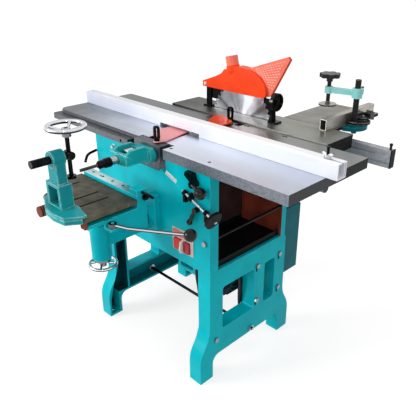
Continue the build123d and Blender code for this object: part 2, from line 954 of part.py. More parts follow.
def belt_cover():
    """Sheet cover behind the body, open towards it, wide at the motor and narrow under the saw table."""
    cover_rear = body_rear + cover_depth
    cover = side_plate(cover_outline(0), body_rear, cover_rear)
    cover -= side_plate(cover_outline(cover_sheet), body_rear - cut_over, cover_rear - cover_sheet)
    cover -= block(frame_inside - cut_over, half_body + cut_over, body_rear - cut_over, leg_rear, 0,
                   body_bottom)
    return cover - block(cover_left + 20, motor_x - 43, belt_front - 12, belt_rear + 12, cover_top - 10,
                         cover_top + 10)


def spindle_shaft():
    """Spindle with the clamping collars and the nut of the saw blade."""
    shaft = rod_y(shaft_radius, 0, chuck_rear, nut_end, spindle_z)
    shaft += rod_y(collar_radius, 0, blade_front - collar_width, blade_front, spindle_z)
    shaft += rod_y(collar_radius, 0, blade_back, blade_back + collar_width, spindle_z)
    return shaft + hexagon_y(arbor_nut_across, 0, nut_end - arbor_nut_length, nut_end, spindle_z)


def knife_turn(step):
    """Place of one knife round the spindle."""
    return Pos(0, 0, spindle_z) * Rot(0, 360 * step / knife_count + 30, 0)


def knife_blank(reach, y0, y1):
    """Knife lying along X from its root, or the slot that holds it."""
    root = cutter_radius + knife_stand - knife_width
    return block(root, reach, y0, y1, -knife_thickness / 2, knife_thickness / 2)


def cutter_block():
    """Round cutter block with a slot and a chip groove for each knife."""
    y0 = -half_cut - cut_over
    y1 = half_cut + cut_over
    cutter = rod_y(cutter_radius, 0, -half_cut, half_cut, spindle_z)
    cutter -= rod_y(shaft_radius, 0, y0, y1, spindle_z)
    for step in range(knife_count):
        cutter -= knife_turn(step) * knife_blank(cutter_radius + 2, y0, y1)
        cutter -= knife_turn(step) * rod_y(chip_groove_radius, cutter_radius + 1, y0, y1,
                                           knife_thickness / 2 + 5)
    return cutter


def planer_knives():
    """Knives of the cutter block."""
    blank = knife_blank(cutter_radius + knife_stand, -half_cut, half_cut)
    return Compound(children=[knife_turn(step) * blank for step in range(knife_count)])


def saw_blade():
    """Circular blade with raked teeth."""
    points = []
    tooth_angle = 2 * pi / tooth_count
    for step in range(tooth_count):
        for radius, share in ((blade_radius, 0.0), (blade_radius - 2, 0.35),
                              (blade_radius - tooth_depth, 0.9)):
            angle = (step + share) * tooth_angle
            points.append((radius * cos(angle), spindle_z + radius * sin(angle)))
    blade = side_plate(points, blade_front, blade_back)
    return blade - rod_y(shaft_radius, 0, blade_front - cut_over, blade_back + cut_over, spindle_z)


def drill_chuck():
    """Plain chuck on the spindle's front end."""
    radius = chuck_diameter / 2
    nose_end = chuck_front + chuck_nose
    chuck = rod_y(radius, 0, nose_end, chuck_rear, spindle_z)
    nose = Cone(radius, radius - 5, chuck_nose)
    chuck += Pos(0, chuck_front + chuck_nose / 2, spindle_z) * Rot(90, 0, 0) * nose
    return chuck - rod_y(drill_diameter / 2, 0, chuck_front - cut_over, chuck_front + drill_grip, spindle_z)


def drill_bit():
    """Slot drill with two straight flutes."""
    radius = drill_diameter / 2
    drill = rod_y(radius, 0, drill_tip, chuck_front + drill_grip, spindle_z)
    flute = rod_y(flute_radius, radius, drill_tip - cut_over, chuck_front - 8, 0)
    for side in (0, 180):
        drill -= Pos(0, 0, spindle_z) * Rot(0, side, 0) * flute
    return drill


def bearing_housings():
    """Housings seated on the body at each end of the cutter block."""
    half = seat_half - housing_inset
    housings = []
    for y0, y1 in ((front_housing_end, -housing_start), (housing_start, rear_housing_end)):
        housing = block(-half, half, y0, y1, seat_z, table_height - 1)
        housings.append(housing - rod_y(shaft_radius + shaft_fit, 0, y0 - cut_over, y1 + cut_over,
                                        spindle_z))
    return Compound(children=housings)


def outfeed_table():
    """Ground plate on a rim, with a rebating ledge along its front."""
    chamfer_back = plate_front + 18
    outline = [
        (-half_table, chamfer_back), (-half_table + 18, plate_front), (-seat_half, plate_front),
        (-seat_half, -lip_half), (-lip, -lip_half), (-lip, lip_half), (-seat_half, lip_half),
        (-seat_half, table_rear),
        (-half_table + table_corner, table_rear), (-half_table, table_rear - table_corner),
    ]
    table = flat_plate(outline, table_low, table_height)
    ledge_end = -seat_half - rebate_stop
    ledge_top = table_height - rebate_depth
    ledge = [
        (-half_table, chamfer_back + 1), (-half_table, table_front + table_corner),
        (-half_table + table_corner, table_front), (ledge_end, table_front), (ledge_end, chamfer_back + 1),
    ]
    table += flat_plate(ledge, table_low, ledge_top)
    table -= block(-half_table + table_rim, -half_body - table_rim, plate_front + table_rim,
                   table_rear - table_rim,
                   table_low - cut_over, pocket_top)
    table -= block(-half_body + wall + 2, -seat_half - table_rim, body_front + wall + 16,
                   body_rear - wall - 16,
                   table_low - cut_over, pocket_top)
    for x in (-half_body + 25, -half_body + 145):
        table -= rod_z(table_hole_radius, x, table_front + rebate_width / 2, ledge_top - 6, table_height)
    edge_hole_x = ledge_end - 39
    return table - rod_y(table_hole_radius, edge_hole_x, table_front - cut_over, table_front + 8,
                         table_low + 10)


def feed_nut():
    """Nut of the feed screw, cast on the front of the infeed table's base."""
    nut_z = way_z(nut_x) + screw_rise
    nut = along_screw(nut_x, nut_length, lug_radius)
    nut += block(nut_x, nut_x + lug_length, screw_y, body_front + cut_over, nut_z - 4, nut_z + 14)
    nut -= along_screw(nut_x - 6, nut_length + 14, screw_radius + slide_gap)
    return nut - block(nut_x - 20, nut_x + 40, body_front, body_front + 30, 0, table_height)


def infeed_table():
    """Ground plate with a wedge-shaped base whose walls ride on the body's inclined ways."""
    corner = seat_half + infeed_notch
    base_left = corner + 4
    outline = [
        (lip, -lip_half), (corner, -lip_half), (corner, table_front), (half_table, table_front),
        (half_table, table_rear), (corner, table_rear), (corner, lip_half), (lip, lip_half),
    ]
    table = flat_plate(outline, table_low, table_height)
    table -= block(half_body + table_rim, half_table - table_rim, table_front + table_rim,
                   table_rear - table_rim,
                   table_low - cut_over, pocket_top)
    table -= block(base_left + 16, half_body - wall - 6, body_front + wall + 6, table_rear - wall - 14,
                   table_low - cut_over, pocket_top)
    wedge = [
        (base_left, way_z(base_left) + slide_gap), (half_body, way_z(half_body) + slide_gap),
        (half_body, table_low), (base_left, table_low),
    ]
    whole = side_plate(wedge, body_front, table_rear)
    table += side_plate(wedge, body_front, body_front + wall)
    table += side_plate(wedge, body_rear - wall, table_rear)
    end = half_body - wall
    table += whole & block(end, half_body, body_front, body_front + end_front, 0, table_height)
    table += whole & block(end, half_body, body_rear - end_rear, table_rear, 0, table_height)
    table += whole & block(base_left, base_left + 10, body_front, table_rear, table_low - 30, table_height)
    table += rod_x(13, half_table - 24, half_table, fence_face + 7, table_low)
    for x in (corner + 12, half_body - 20):
        for y in (table_front + 25, table_rear - table_rim):
            table -= rod_z(table_hole_radius, x, y, table_height - table_hole_depth,
                           table_height + cut_over)
    return table + feed_nut()


def infeed_screw():
    """Feed screw held in the body's two lugs."""
    start = lug_left - 4
    end = feed_wheel_x + feed_wheel_width + 6
    return along_screw(start, (end - start) / cos(radians(way_drop)), screw_radius)


def infeed_handwheel():
    """Round disc with finger notches on the end of the feed screw."""
    wheel = along_screw(feed_wheel_x, feed_wheel_width, feed_wheel_radius)
    plane = Plane(on_screw(feed_wheel_x - cut_over), z_dir=way_direction)
    for step in range(feed_wheel_notches):
        turned = plane.rotated((0, 0, 360 * step / feed_wheel_notches))
        wheel -= extrude(turned * Pos(feed_wheel_radius + 4, 0) * Circle(6),
                         feed_wheel_width + 2 * cut_over)
    wheel += along_screw(feed_wheel_x - 2, feed_wheel_width - 4, 12)
    return wheel - along_screw(feed_wheel_x - 4, feed_wheel_width + 8, screw_radius)


def table_lock_lever():
    """Ball-ended lever that locks the infeed table."""
    lock_z = table_low - lock_drop
    front = body_front - lock_out
    ball = (lock_x + 40, front, lock_z - 15)
    lever = rod_y(lock_hub_radius, lock_x, front, body_front - slide_gap, lock_z)
    lever += straight_bar((lock_x, front + 6, lock_z), ball, lever_radius)
    tail = [
        (lock_x - 8, lock_z), (lock_x + 8, lock_z), (lock_x - 4, lock_z + 33), (lock_x - 34, lock_z + 33),
        (lock_x - 38, lock_z + 20),
    ]
    lever += side_plate(tail, front + 8, body_front - 2)
    return lever + Pos(*ball) * Sphere(ball_radius)


def slide_lock_lever():
    """Short lever on the front wall that clamps the slide of the infeed table."""
    hub_z = way_z(slide_lock_x) - slide_lock_drop
    tip = (slide_lock_x - slide_lock_reach / 2 + 1, body_front - 16, hub_z - slide_lock_reach)
    lever = rod_y(slide_lock_hub_radius, slide_lock_x, body_front - 18, body_front - slide_gap, hub_z)
    lever += straight_bar((slide_lock_x, body_front - 13, hub_z), tip, lever_radius)
    return lever + Pos(*tip) * Sphere(slide_lock_tip_radius)


def stud_place():
    """Place of the fence's clamping stud, near the fence's end on the infeed side."""
    return fence_right - stud_back, fence_middle + 1


def planer_fence():
    """Hollow aluminium section with a rib, a slot for its stud and a notch over the cutter block."""
    stud_x, stud_y = stud_place()
    slot_half = stud_radius + slide_gap
    skin_low = fence_top - fence_wall - cut_over
    fence = block(fence_left, fence_right, fence_face, fence_back, fence_low, fence_top)
    fence -= block(fence_left - cut_over, fence_right + cut_over, fence_face + fence_wall,
                   fence_back - fence_wall,
                   fence_low + fence_wall, fence_top - fence_wall)
    rib_front = fence_middle + fence_width / 2 - 12
    fence += block(fence_left, fence_right, rib_front, rib_front + fence_wall, fence_low + 1, fence_top - 1)
    fence -= block(notch_left, notch_right, fence_face - cut_over, fence_back + cut_over,
                   fence_low - cut_over,
                   table_height + notch_height)
    fence -= block(stud_x - slot_half, fence_right + cut_over, stud_y - slot_half, stud_y + slot_half,
                   skin_low,
                   fence_top + cut_over)
    return fence - rod_z(4, fence_left + 16, stud_y + 3, skin_low, fence_top + cut_over)


def fence_wing_screw():
    """Wing screw that clamps the fence."""
    stud_x, stud_y = stud_place()
    screw = rod_z(stud_radius, stud_x, stud_y, fence_low + fence_wall, fence_top + stud_height)
    screw += rod_z(wing_nut_radius, stud_x, stud_y, fence_top + slide_gap, fence_top + wing_nut_height)
    outline = [
        (0, fence_top + 4), (9, fence_top + 4), (19, fence_top + 15), (13, fence_top + 18),
        (0, fence_top + 11),
    ]
    wing = side_plate(outline, -wing_thickness / 2, wing_thickness / 2)
    for turn in (0, 180):
        screw += Pos(stud_x, stud_y, 0) * Rot(0, 0, turn) * wing
    return screw


def planer_guard(outline, pivot):
    """Flat plate that swings on a post at one end of the cutter block."""
    guard = flat_plate(outline, guard_low, guard_top) + rod_z(guard_boss, *pivot, guard_low, guard_top)
    return guard - rod_z(guard_pin_radius + pivot_fit, *pivot, guard_low - cut_over, guard_top + cut_over)


def planer_guard_front():
    x, y = front_pivot
    edge = fence_face + front_guard_under
    outline = [
        (x - guard_boss, y), (x + guard_boss, y), (x + front_guard_heel, y + front_guard_heel_back),
        (x - front_guard_toe, edge), (x - front_guard_length, edge),
        (x - front_guard_length, y + front_guard_side),
    ]
    return planer_guard(outline, front_pivot)


def planer_guard_rear():
    x, y = rear_pivot
    edge = fence_back - rear_guard_under
    outline = [
        (x + guard_boss, y - guard_boss / 2), (x + rear_guard_shoulder, y - rear_guard_drop),
        (x + rear_guard_toe, edge), (x - rear_guard_length, edge),
        (x - rear_guard_length, y - rear_guard_side),
        (x - guard_boss, y - guard_boss / 2),
    ]
    return planer_guard(outline, rear_pivot)


def planer_guard_posts():
    """Posts of the planer guards, each with a pivot pin below and a D-shaped loop above."""
    low = guard_top + slide_gap
    ring = RectangleRounded(loop_width, loop_height, 11)
    ring -= RectangleRounded(loop_width - 2 * loop_bar, loop_height - 2 * loop_bar, 6)
    posts = []
    for x, y in (front_pivot, rear_pivot):
        loop = Pos(x, low + 3 + loop_height / 2) * ring
        post = extrude(Plane.XZ.offset(-y - loop_thickness / 2) * loop, loop_thickness)
        post += rod_z(guard_pin_radius, x, y, table_height - 1, low + 5)
        posts.append(post + rod_z(guard_boss - 2, x, y, low, low + 4))
    return Compound(children=posts)


def saw_table():
    """Plate with a slot for the blade and a deep rib under its right end."""
    saw_right = saw_left + saw_length
    table = block(saw_left, saw_right, saw_front, saw_rear, saw_under, saw_top)
    table = fillet(table.edges().filter_by(Axis.Z), plate_corner)
    table += block(saw_right - saw_rib, saw_right, saw_front + plate_corner, saw_rear - plate_corner,
                   saw_top - saw_rib_drop, saw_under)
    slot_half = blade_radius + slot_room
    return table - block(-slot_half, slot_half, blade_centre - slot_width / 2,
                         blade_centre + slot_width / 2,
                         saw_under - cut_over, saw_top + cut_over)


def slide_rail():
    """Aluminium section with two grooves on each side and a hollow core."""
    x0 = rail_left - cut_over
    x1 = rail_right + cut_over
    rail = block(rail_left, rail_right, rail_front, rail_rear, rail_low, rail_high)
    for z in (rail_low + 14, rail_high - 22):
        rail -= block(x0, x1, rail_front - cut_over, rail_front + rail_groove_depth, z, z + rail_groove)
        rail -= block(x0, x1, rail_rear - rail_groove_depth, rail_rear + cut_over, z, z + rail_groove)
    return rail - block(x0, x1, rail_front + rail_wall, rail_rear - rail_wall, rail_low + 10,
                        rail_high - 10)


def sliding_table():
    """Plate on a carriage that runs along the rail."""
    table = block(slider_left, slider_right, slider_front, slider_rear, slider_under, saw_top)
    table = fillet(table.edges().filter_by(Axis.Z), plate_corner)
    x0 = slider_left + carriage_inset
    x1 = slider_right - carriage_inset
    carriage_rear = rail_rear + carriage_wall
    table += block(x0, x1, rail_front + 3, carriage_rear, rail_high + slide_gap, slider_under)
    table += block(x0, x1, rail_rear + slide_gap, carriage_rear, rail_low + 10, slider_under)
    for y in (carriage_rear + 60, slider_rear - 20):
        table += block(slider_left + 10, slider_right - 10, y, y + slider_rib, slider_under - 14,
                       slider_under)
    return table


def table_end_bracket():
    """Half-round bracket on the end of the sliding table, with a pivot nut below."""
    low = saw_top - end_bracket_plate
    square = Pos(end_bracket_radius, 0) * Rectangle(2 * end_bracket_radius, 3 * end_bracket_radius)
    half_round = Circle(end_bracket_radius) & square
    centre_y = saw_rear + end_bracket_back
    bracket = extrude(Plane.XY.offset(low) * Pos(slider_right, centre_y) * half_round, end_bracket_plate)
    return bracket + rod_z(9, mitre_x + 17, centre_y - 27, low - 9, low)


def protractor():
    """Disc with the clamp post and the block that holds the mitre fence, turning on the bracket."""
    disc = rod_z(mitre_radius, mitre_x, mitre_y, disc_low, disc_top)
    disc -= block(mitre_x - 2 * mitre_radius, tube_right, mitre_y - mitre_radius - 1,
                  mitre_y + mitre_radius + 1,
                  disc_low - cut_over, disc_top + cut_over)
    disc += block(tube_right, mitre_x - 3, mitre_y - 16, mitre_y + 36, disc_top, tube_top - 5)
    disc += rod_z(clamp_post_radius, *clamp_post, disc_top, saw_top + clamp_post_height)
    return disc + rod_z(16, mitre_x + 6, mitre_y + 12, disc_top, disc_top + 10)


def mitre_fence():
    """Rectangular aluminium tube."""
    tube = block(tube_left, tube_right, tube_front, tube_rear, tube_low, tube_top)
    return tube - block(tube_left + tube_wall, tube_right - tube_wall, tube_front - cut_over,
                        tube_rear + cut_over,
                        tube_low + tube_wall, tube_top - tube_wall)


def mitre_knob():
    """Lobed knob that clamps the mitre fence to the protractor."""
    tube_middle = (tube_low + tube_top) / 2
    place = Pos(tube_right + mitre_knob_out, mitre_y + mitre_knob_back, tube_middle) * Rot(0, 90, 0)
    return place * lobed_knob(mitre_knob_radius, mitre_knob_height, 6, 6, mitre_knob_out - slide_gap, 0.5)


def clamp_arm():
    """Arm of the work clamp, with an eye on the post and an eye for the screw."""
    half_boss = clamp_boss_height / 2
    half_eye = clamp_eye_height / 2
    arm = rod_z(clamp_boss_radius, *clamp_post, clamp_arm_z - half_boss, clamp_arm_z + half_boss)
    arm += rod_z(clamp_eye_radius, *clamp_eye, clamp_arm_z - half_eye, clamp_arm_z + half_eye)
    length = hypot(clamp_reach_x, clamp_reach_y)
    angle = degrees(atan2(clamp_reach_y, clamp_reach_x))
    beam = Pos(length / 2, 0, 0) * Box(length, clamp_beam_width, clamp_beam_height)
    arm += Pos(*clamp_post, clamp_arm_z) * Rot(0, 0, angle) * beam
    low = clamp_arm_z - clamp_boss_height
    high = clamp_arm_z + clamp_boss_height
    arm -= rod_z(clamp_post_radius + pivot_fit, *clamp_post, low, high)
    arm -= rod_z(clamp_screw_radius + pivot_fit, *clamp_eye, low, high)
    post_x, post_y = clamp_post
    return arm - rod_y(clamp_bolt_radius + pivot_fit, post_x, post_y + 2, post_y + clamp_boss_radius + 5,
                       clamp_bolt_z)


def clamp_wing_knob():
    """Wing knob whose bolt clamps the arm to the post."""
    post_x, post_y = clamp_post
    start = post_y + clamp_boss_radius + 2
    knob = rod_y(clamp_bolt_radius, post_x, post_y + clamp_post_radius + slide_gap, start + 8, clamp_bolt_z)
    knob += rod_y(7, post_x, start, start + 10, clamp_bolt_z)
    half_wing = [(2, 6), (9, 14), (18, 13), (12, 0)]
    outline = [(start + out, clamp_bolt_z - rise) for out, rise in half_wing]
    outline += [(start + out, clamp_bolt_z + rise) for out, rise in reversed(half_wing[:3])]
    return knob + end_plate(outline, post_x - 3, post_x + 3)


def clamp_screw():
    """Screw of the work clamp with its round pad."""
    pad_top = pad_low + pad_thickness
    screw = rod_z(clamp_screw_radius, *clamp_eye, pad_top, star_low)
    screw += rod_z(pad_radius, *clamp_eye, pad_low, pad_top)
    return screw + rod_z(clamp_screw_radius + 2, *clamp_eye, pad_top, pad_top + pad_thickness)


def clamp_star_knob():
    """Star knob on top of the clamp screw."""
    knob = lobed_knob(star_radius, star_height, 7, 11, star_height, clamp_screw_radius + pivot_fit)
    return Pos(*clamp_eye, star_low + slide_gap) * knob


def hood_outline(inset):
    """Side view of the hood: straight below, a high rounded nose, a step behind the port and a low tail."""
    top = hood_low + hood_height - inset
    low = hood_low
    tail = hood_tail
    if inset:
        low -= cut_over
        tail -= cut_over
    nose = hood_nose - inset
    chin = (nose - hood_chin, low)
    cheek = (nose, hood_low + hood_chin_rise)
    crown = (hood_crown, top)
    step = (hood_step_x + inset / 2, top - hood_step_drop)
    ledge = (hood_ledge_x + inset / 2, top - hood_ledge_drop)
    slope = (hood_slope_x, top - hood_slope_drop)
    return [
        Line((tail, low), chin),
        Line(chin, cheek),
        Bezier(cheek, (nose, cheek[1] + hood_nose_pull), (hood_crown + hood_crown_pull, top), crown),
        Line(crown, step),
        Line(step, ledge),
        Line(ledge, slope),
        Line(slope, (tail, top - hood_tail_drop)),
        Line((tail, top - hood_tail_drop), (tail, low)),
    ]


def hood_slab(inset, y0, y1):
    """Hood outline made into a slab across the blade."""
    return extrude(Plane.XZ.offset(-y1) * make_face(hood_outline(inset)), y1 - y0)


def saw_guard():
    """Moulded hood with a leaning dust port on a flared neck, and a flat front wing."""
    hood = hood_slab(0, hood_front, hood_back)
    hood -= hood_slab(hood_wall, hood_front + hood_wall, hood_back - hood_wall)
    base_z = hood_low + hood_height - port_drop
    leaning = (-sin(radians(port_lean)), 0, cos(radians(port_lean)))
    port = Plane((port_x, blade_centre, base_z), z_dir=leaning)
    pipe = extrude(port * Circle(port_radius), port_length)
    pipe += extrude(port * Circle(port_radius + port_foot_step), port_foot)
    neck_radius = hood_width / 2 - port_neck_inset
    pipe += loft([port.offset(-port_neck) * Circle(neck_radius), port * Circle(port_radius + port_foot_step)])
    hood += pipe - hood_slab(hood_wall, hood_front + hood_wall, hood_back - hood_wall)
    floor = block(port_x - 2 * port_radius, port_x + 2 * port_radius, hood_front - port_radius,
                  hood_back + port_radius,
                  base_z - port_radius, base_z - hood_wall)
    hood -= extrude(port * Circle(port_radius - hood_wall), port_length + cut_over) - floor
    tip_x = hood_nose + wing_reach
    tip_z = hood_low + wing_rise
    wing = [
        (wing_root_x, hood_low + wing_root_rise), (wing_neck_x, hood_low + wing_neck_rise),
        (hood_nose - wing_heel / 2, hood_low + wing_neck_rise / 2), (hood_nose, hood_low + hood_chin_rise),
        (hood_nose + wing_heel / 2, hood_low + wing_heel_rise / 2),
        (hood_nose + wing_heel, hood_low + wing_heel_rise),
        (tip_x, tip_z), (tip_x - wing_tip / 2, tip_z + wing_tip / 2), (tip_x - wing_tip, tip_z + wing_tip),
    ]
    hood += side_plate(wing, blade_centre - hood_wing / 2, blade_centre + hood_wing / 2) - hood_slab(
        hood_wall, hood_front, hood_back)
    return hood - rod_y(hood_pin_radius + pivot_fit, hood_pivot_x, hood_front - cut_over,
                        hood_back + cut_over,
                        hood_pivot_z)


def saw_guard_post():
    """Flat post behind the blade with the pivot pin of the hood."""
    y0 = blade_centre - saw_post_thickness / 2
    y1 = blade_centre + saw_post_thickness / 2
    neck = hood_pivot_z - 2 * saw_post_eye
    post = block(saw_post_left, saw_post_right, y0, y1, saw_top, neck)
    post += rod_y(saw_post_eye, hood_pivot_x, y0, y1, hood_pivot_z)
    post += block(hood_pivot_x - saw_post_eye, hood_pivot_x + saw_post_eye, y0, y1, neck - 2, hood_pivot_z)
    post += block(saw_post_left - 8, saw_post_right + 6, blade_centre - 13, blade_centre + 13, saw_top,
                  saw_top + post_foot_plate)
    return post + rod_y(hood_pin_radius, hood_pivot_x, hood_front - 3, hood_back + 3, hood_pivot_z)


def saw_front_post():
    """Flat post before the blade that carries the lobed knob."""
    half = knob_post_width / 2
    x0 = knob_post_x
    x1 = knob_post_x + knob_post_thickness
    post = block(x0, x1, knob_post_y - half, knob_post_y + half, saw_top, post_knob_z + half)
    post += block(x0 - 2, x0 + 36, knob_post_y - 16, knob_post_y + 16, saw_top, saw_top + post_foot_plate)
    gusset = [
        (knob_post_y - half - 4, saw_top), (knob_post_y + half + 4, saw_top),
        (knob_post_y + half, saw_top + 30),
        (knob_post_y - half, saw_top + 30),
    ]
    post += end_plate(gusset, x0, x1 + 2)
    return post - rod_x(post_knob_pin + pivot_fit, x0 - cut_over, x1 + 3, knob_post_y, post_knob_z)


def front_post_knob():
    """Large round knob with a dished face and its pin through the front post."""
    knob_x = knob_post_x + knob_post_thickness + 4
    knob = rod_z(post_knob_radius, 0, 0, 0, post_knob_height)
    dish = rod_z(post_knob_radius - 6, 0, 0, post_knob_height - 5, post_knob_height + cut_over)
    knob -= dish - rod_z(post_knob_hub, 0, 0, 0, post_knob_height + cut_over)
    knob += rod_z(post_knob_hub, 0, 0, slide_gap - 4, 0)
    knob = Pos(knob_x, knob_post_y, post_knob_z) * Rot(0, 90, 0) * knob
    return knob + rod_x(post_knob_pin, knob_post_x + 1, knob_x, knob_post_y, post_knob_z)


def mortise_head():
    """Open-topped bearing casing round the spindle's front end, its side walls higher in the middle."""
    low = spindle_z - head_height / 2
    top = spindle_z + head_height / 2
    inside = head_half - head_wall
    well_front = head_front + head_front_wall
    well_rear = front_housing_end - head_rear_wall
    head = block(-head_half, head_half, head_front, front_housing_end, low, top)
    head -= block(-inside, inside, well_front, well_rear, low + 8, top + cut_over)
    crest = [
        (well_rear + head_slope, top), (well_rear, top + head_rise),
        (head_front + head_slope, top + head_rise), (head_front, top),
    ]
    for x in (-head_half, inside):
        head += extrude(Plane.YZ.offset(x) * Polygon(*crest, align=None), head_wall)
    head += rod_y(head_boss, head_half - 12, front_housing_end - head_boss, front_housing_end,
                  spindle_z - 6)
    head += rod_y(head_nose_radius, 0, head_front - head_nose, head_front, spindle_z)
    return head - rod_y(shaft_radius + 1.5, 0, head_front - head_nose - 3, front_housing_end + cut_over,
                        spindle_z)


def mortise_bracket():
    """Bracket on the front wall with the clamped sleeve of the lifting column."""
    right = column_x + bracket_right
    face = body_front - bracket_plate
    base = sleeve_top - bracket_height
    bracket = block(column_x - bracket_left, right, face, body_front, base, sleeve_top)
    bracket += block(right - upright_width, right, face - upright_step, body_front,
                     sleeve_top - upright_low,
                     sleeve_top + upright_rise)
    bracket += block(column_x - bracket_half, column_x + bracket_half, column_y, face, base,
                     sleeve_top - web_drop)
    bracket += rod_z(column_radius, column_x, column_y, sleeve_low, sleeve_top)
    lug_front = column_y - pinch_front
    lug_top = sleeve_top - pinch_drop
    lug_x = column_x - pinch_left
    bracket += block(lug_x, column_x - pinch_right, lug_front, lug_front + pinch_depth,
                     lug_top - pinch_height, lug_top)
    bracket += rod_x(pinch_screw_radius, lug_x - pinch_screw_length, lug_x, lug_front + pinch_depth / 2,
                     lug_top - pinch_height / 2)
    return bracket - rod_z(ram_radius + shaft_fit, column_x, column_y, sleeve_low - cut_over,
                           sleeve_top + cut_over)


def mortise_saddle():
    """Saddle on its ram, with the machined rear guide and the pivot of the table's lever."""
    cheek_low = saddle_top - cheek_height
    cheek_outline = [
        (saddle_front, saddle_top), (guide_rear, saddle_top), (guide_rear, cheek_low),
        (guide_rear - 45, cheek_low),
        (column_y - 47, saddle_top - 14), (saddle_front, saddle_top - 10),
    ]
    saddle = block(saddle_left, saddle_right, saddle_front, guide_rear, saddle_low, saddle_top)
    for x0 in (saddle_left, saddle_right - cheek):
        saddle += end_plate(cheek_outline, x0, x0 + cheek)
    guide_top = mortise_top + guide_height
    saddle += block(guide_left, saddle_right, guide_front, guide_rear, saddle_low, guide_top)
    for step in range(3):
        x = guide_left + 75 + 65 * step
        saddle -= rod_z(4, x, (guide_front + guide_rear) / 2, guide_top - 6, guide_top + cut_over)
    saddle += rod_z(ram_radius, column_x, column_y, ram_low, saddle_top)
    saddle -= rod_z(lift_screw_radius + slide_gap, column_x, column_y, ram_low - cut_over, saddle_top - 14)
    lug_top = lever_z - 8
    saddle += block(saddle_right, pivot_x + 12, lever_y - 14, lever_y + 14, lug_top - 8, lug_top)
    saddle += block(saddle_right, saddle_right + 8, lever_y - 14, lever_y + 14, lug_top - 8, saddle_top)
    return saddle + rod_z(pivot_radius, pivot_x, lever_y, lug_top, lever_z + 8)


def mortise_cross_slide():
    """Plate between the saddle and the table, which moves the work towards the drill."""
    return block(saddle_left + 5, mortise_right - 20, mortise_front + 12, mortise_rear - 8,
                 saddle_top + slide_gap,
                 mortise_top - mortise_plate - slide_gap)


def mortise_table():
    """Table of the mortiser, with a cut corner and three grooves."""
    outline = [
        (mortise_left, mortise_rear), (mortise_left, mortise_front + mortise_cut_y),
        (mortise_left + mortise_cut_x, mortise_front), (mortise_right, mortise_front),
        (mortise_right, mortise_rear),
    ]
    table = flat_plate(outline, mortise_top - mortise_plate, mortise_top)
    for x in (mortise_left + 60, mortise_left + 167, mortise_left + 221):
        table -= block(x - mortise_groove / 2, x + mortise_groove / 2, mortise_front - cut_over, column_y,
                       mortise_top - mortise_groove, mortise_top + cut_over)
    return table


def lever_end():
    """Centre of the ball on the table's lever."""
    return pivot_x + table_lever_x, lever_y + table_lever_y, lever_z - 3


def mortise_lever():
    """Bent lever that moves the table along."""
    bend = (pivot_x + 42, lever_y + 22, lever_z - 4)
    lever = rod_z(pivot_hub_radius, pivot_x, lever_y, lever_z - 8 + slide_gap, lever_z + 6)
    lever += straight_bar((pivot_x, lever_y, lever_z), bend, table_lever_radius)
    lever += straight_bar(bend, lever_end(), table_lever_radius)
    lever += Pos(*bend) * Sphere(table_lever_radius)
    lever -= rod_z(pivot_radius + pivot_fit, pivot_x, lever_y, lever_z - 20, lever_z + 20)
    return lever - lever_ball()


def lever_ball():
    """Ball grip of the table's lever."""
    return Pos(*lever_end()) * Sphere(ball_radius)


def column_handwheel():
    """Handwheel under the sleeve, in one piece with its thrust collar and lifting screw."""
    low = sleeve_low - column_wheel_drop
    wheel = hand_wheel(column_wheel_radius, column_wheel_rim, column_wheel_hub,
                       column_wheel_drop - slide_gap, 4, -9, 4)
    wheel = Pos(column_x, column_y, low) * wheel
    collar_top = sleeve_low - slide_gap
    wheel += rod_z(column_radius - 4, column_x, column_y, collar_top - thrust_collar, collar_top)
    return wheel + rod_z(lift_screw_radius, column_x, column_y, low + 4, sleeve_low + lift_screw_length)


def hold_down_bracket():
    """Box-shaped bracket on the mortise table, with an eye for the hold-down rod."""
    front = mortise_front - hold_box_out
    back = mortise_front + hold_box_in
    left = hold_x - hold_box_left
    right = hold_x + hold_box_right
    box_top = mortise_top + hold_box_height
    bracket = block(left, right, front, back, mortise_top, box_top)
    bracket -= block(left + hold_box_wall, right - hold_box_wall, front - cut_over, back - hold_box_floor,
                     mortise_top + hold_box_floor, box_top - hold_box_wall)
    bracket += block(left - hold_flange_left, right + hold_flange_right, front, back + hold_flange_back,
                     mortise_top,
                     mortise_top + hold_flange)
    neck = [
        (hold_x - hold_neck / 2, box_top), (hold_x + hold_neck / 2, box_top),
        (hold_x + hold_neck_top / 2, hold_rod_z), (hold_x - hold_neck_top / 2, hold_rod_z),
    ]
    bracket += side_plate(neck, front + hold_neck_inset, back - hold_neck_inset)
    bracket += rod_y(hold_eye_radius, hold_x, front + hold_neck_inset / 3, back - hold_neck_inset / 3,
                     hold_rod_z)
    return bracket - rod_y(hold_rod_radius + pivot_fit, hold_x, front, back, hold_rod_z)


def hold_down_arm():
    """Rod that slides in the bracket, with a cross eye for the screw."""
    arm = rod_y(hold_rod_radius, hold_x, hold_y - hold_rod_length, hold_y, hold_rod_z)
    arm += rod_x(hold_collar - 3, hold_x - hold_collar, hold_x + hold_collar, hold_y, hold_rod_z)
    return arm - rod_z(hold_screw_radius + pivot_fit, hold_x, hold_y, hold_rod_z - 40, hold_rod_z + 40)


def hold_down_screw():
    """Hold-down screw with its round foot."""
    foot = mortise_top + hold_foot_rise
    screw = rod_z(hold_screw_radius, hold_x, hold_y, foot + 6, hold_wheel_z + 20)
    return screw + rod_z(hold_foot_radius, hold_x, hold_y, foot, foot + hold_foot_height)


def hold_down_handwheel():
    """Dished handwheel on the hold-down screw."""
    wheel = hand_wheel(hold_wheel_radius, hold_wheel_rim, hold_wheel_hub, hold_wheel_height,
                       hold_screw_radius + pivot_fit, hold_wheel_dish, 4)
    return Pos(hold_x, hold_y, hold_wheel_z) * wheel


def button_span(left, width):
    """X limits of a push button on the switch."""
    return switch_left + left, switch_left + left + width


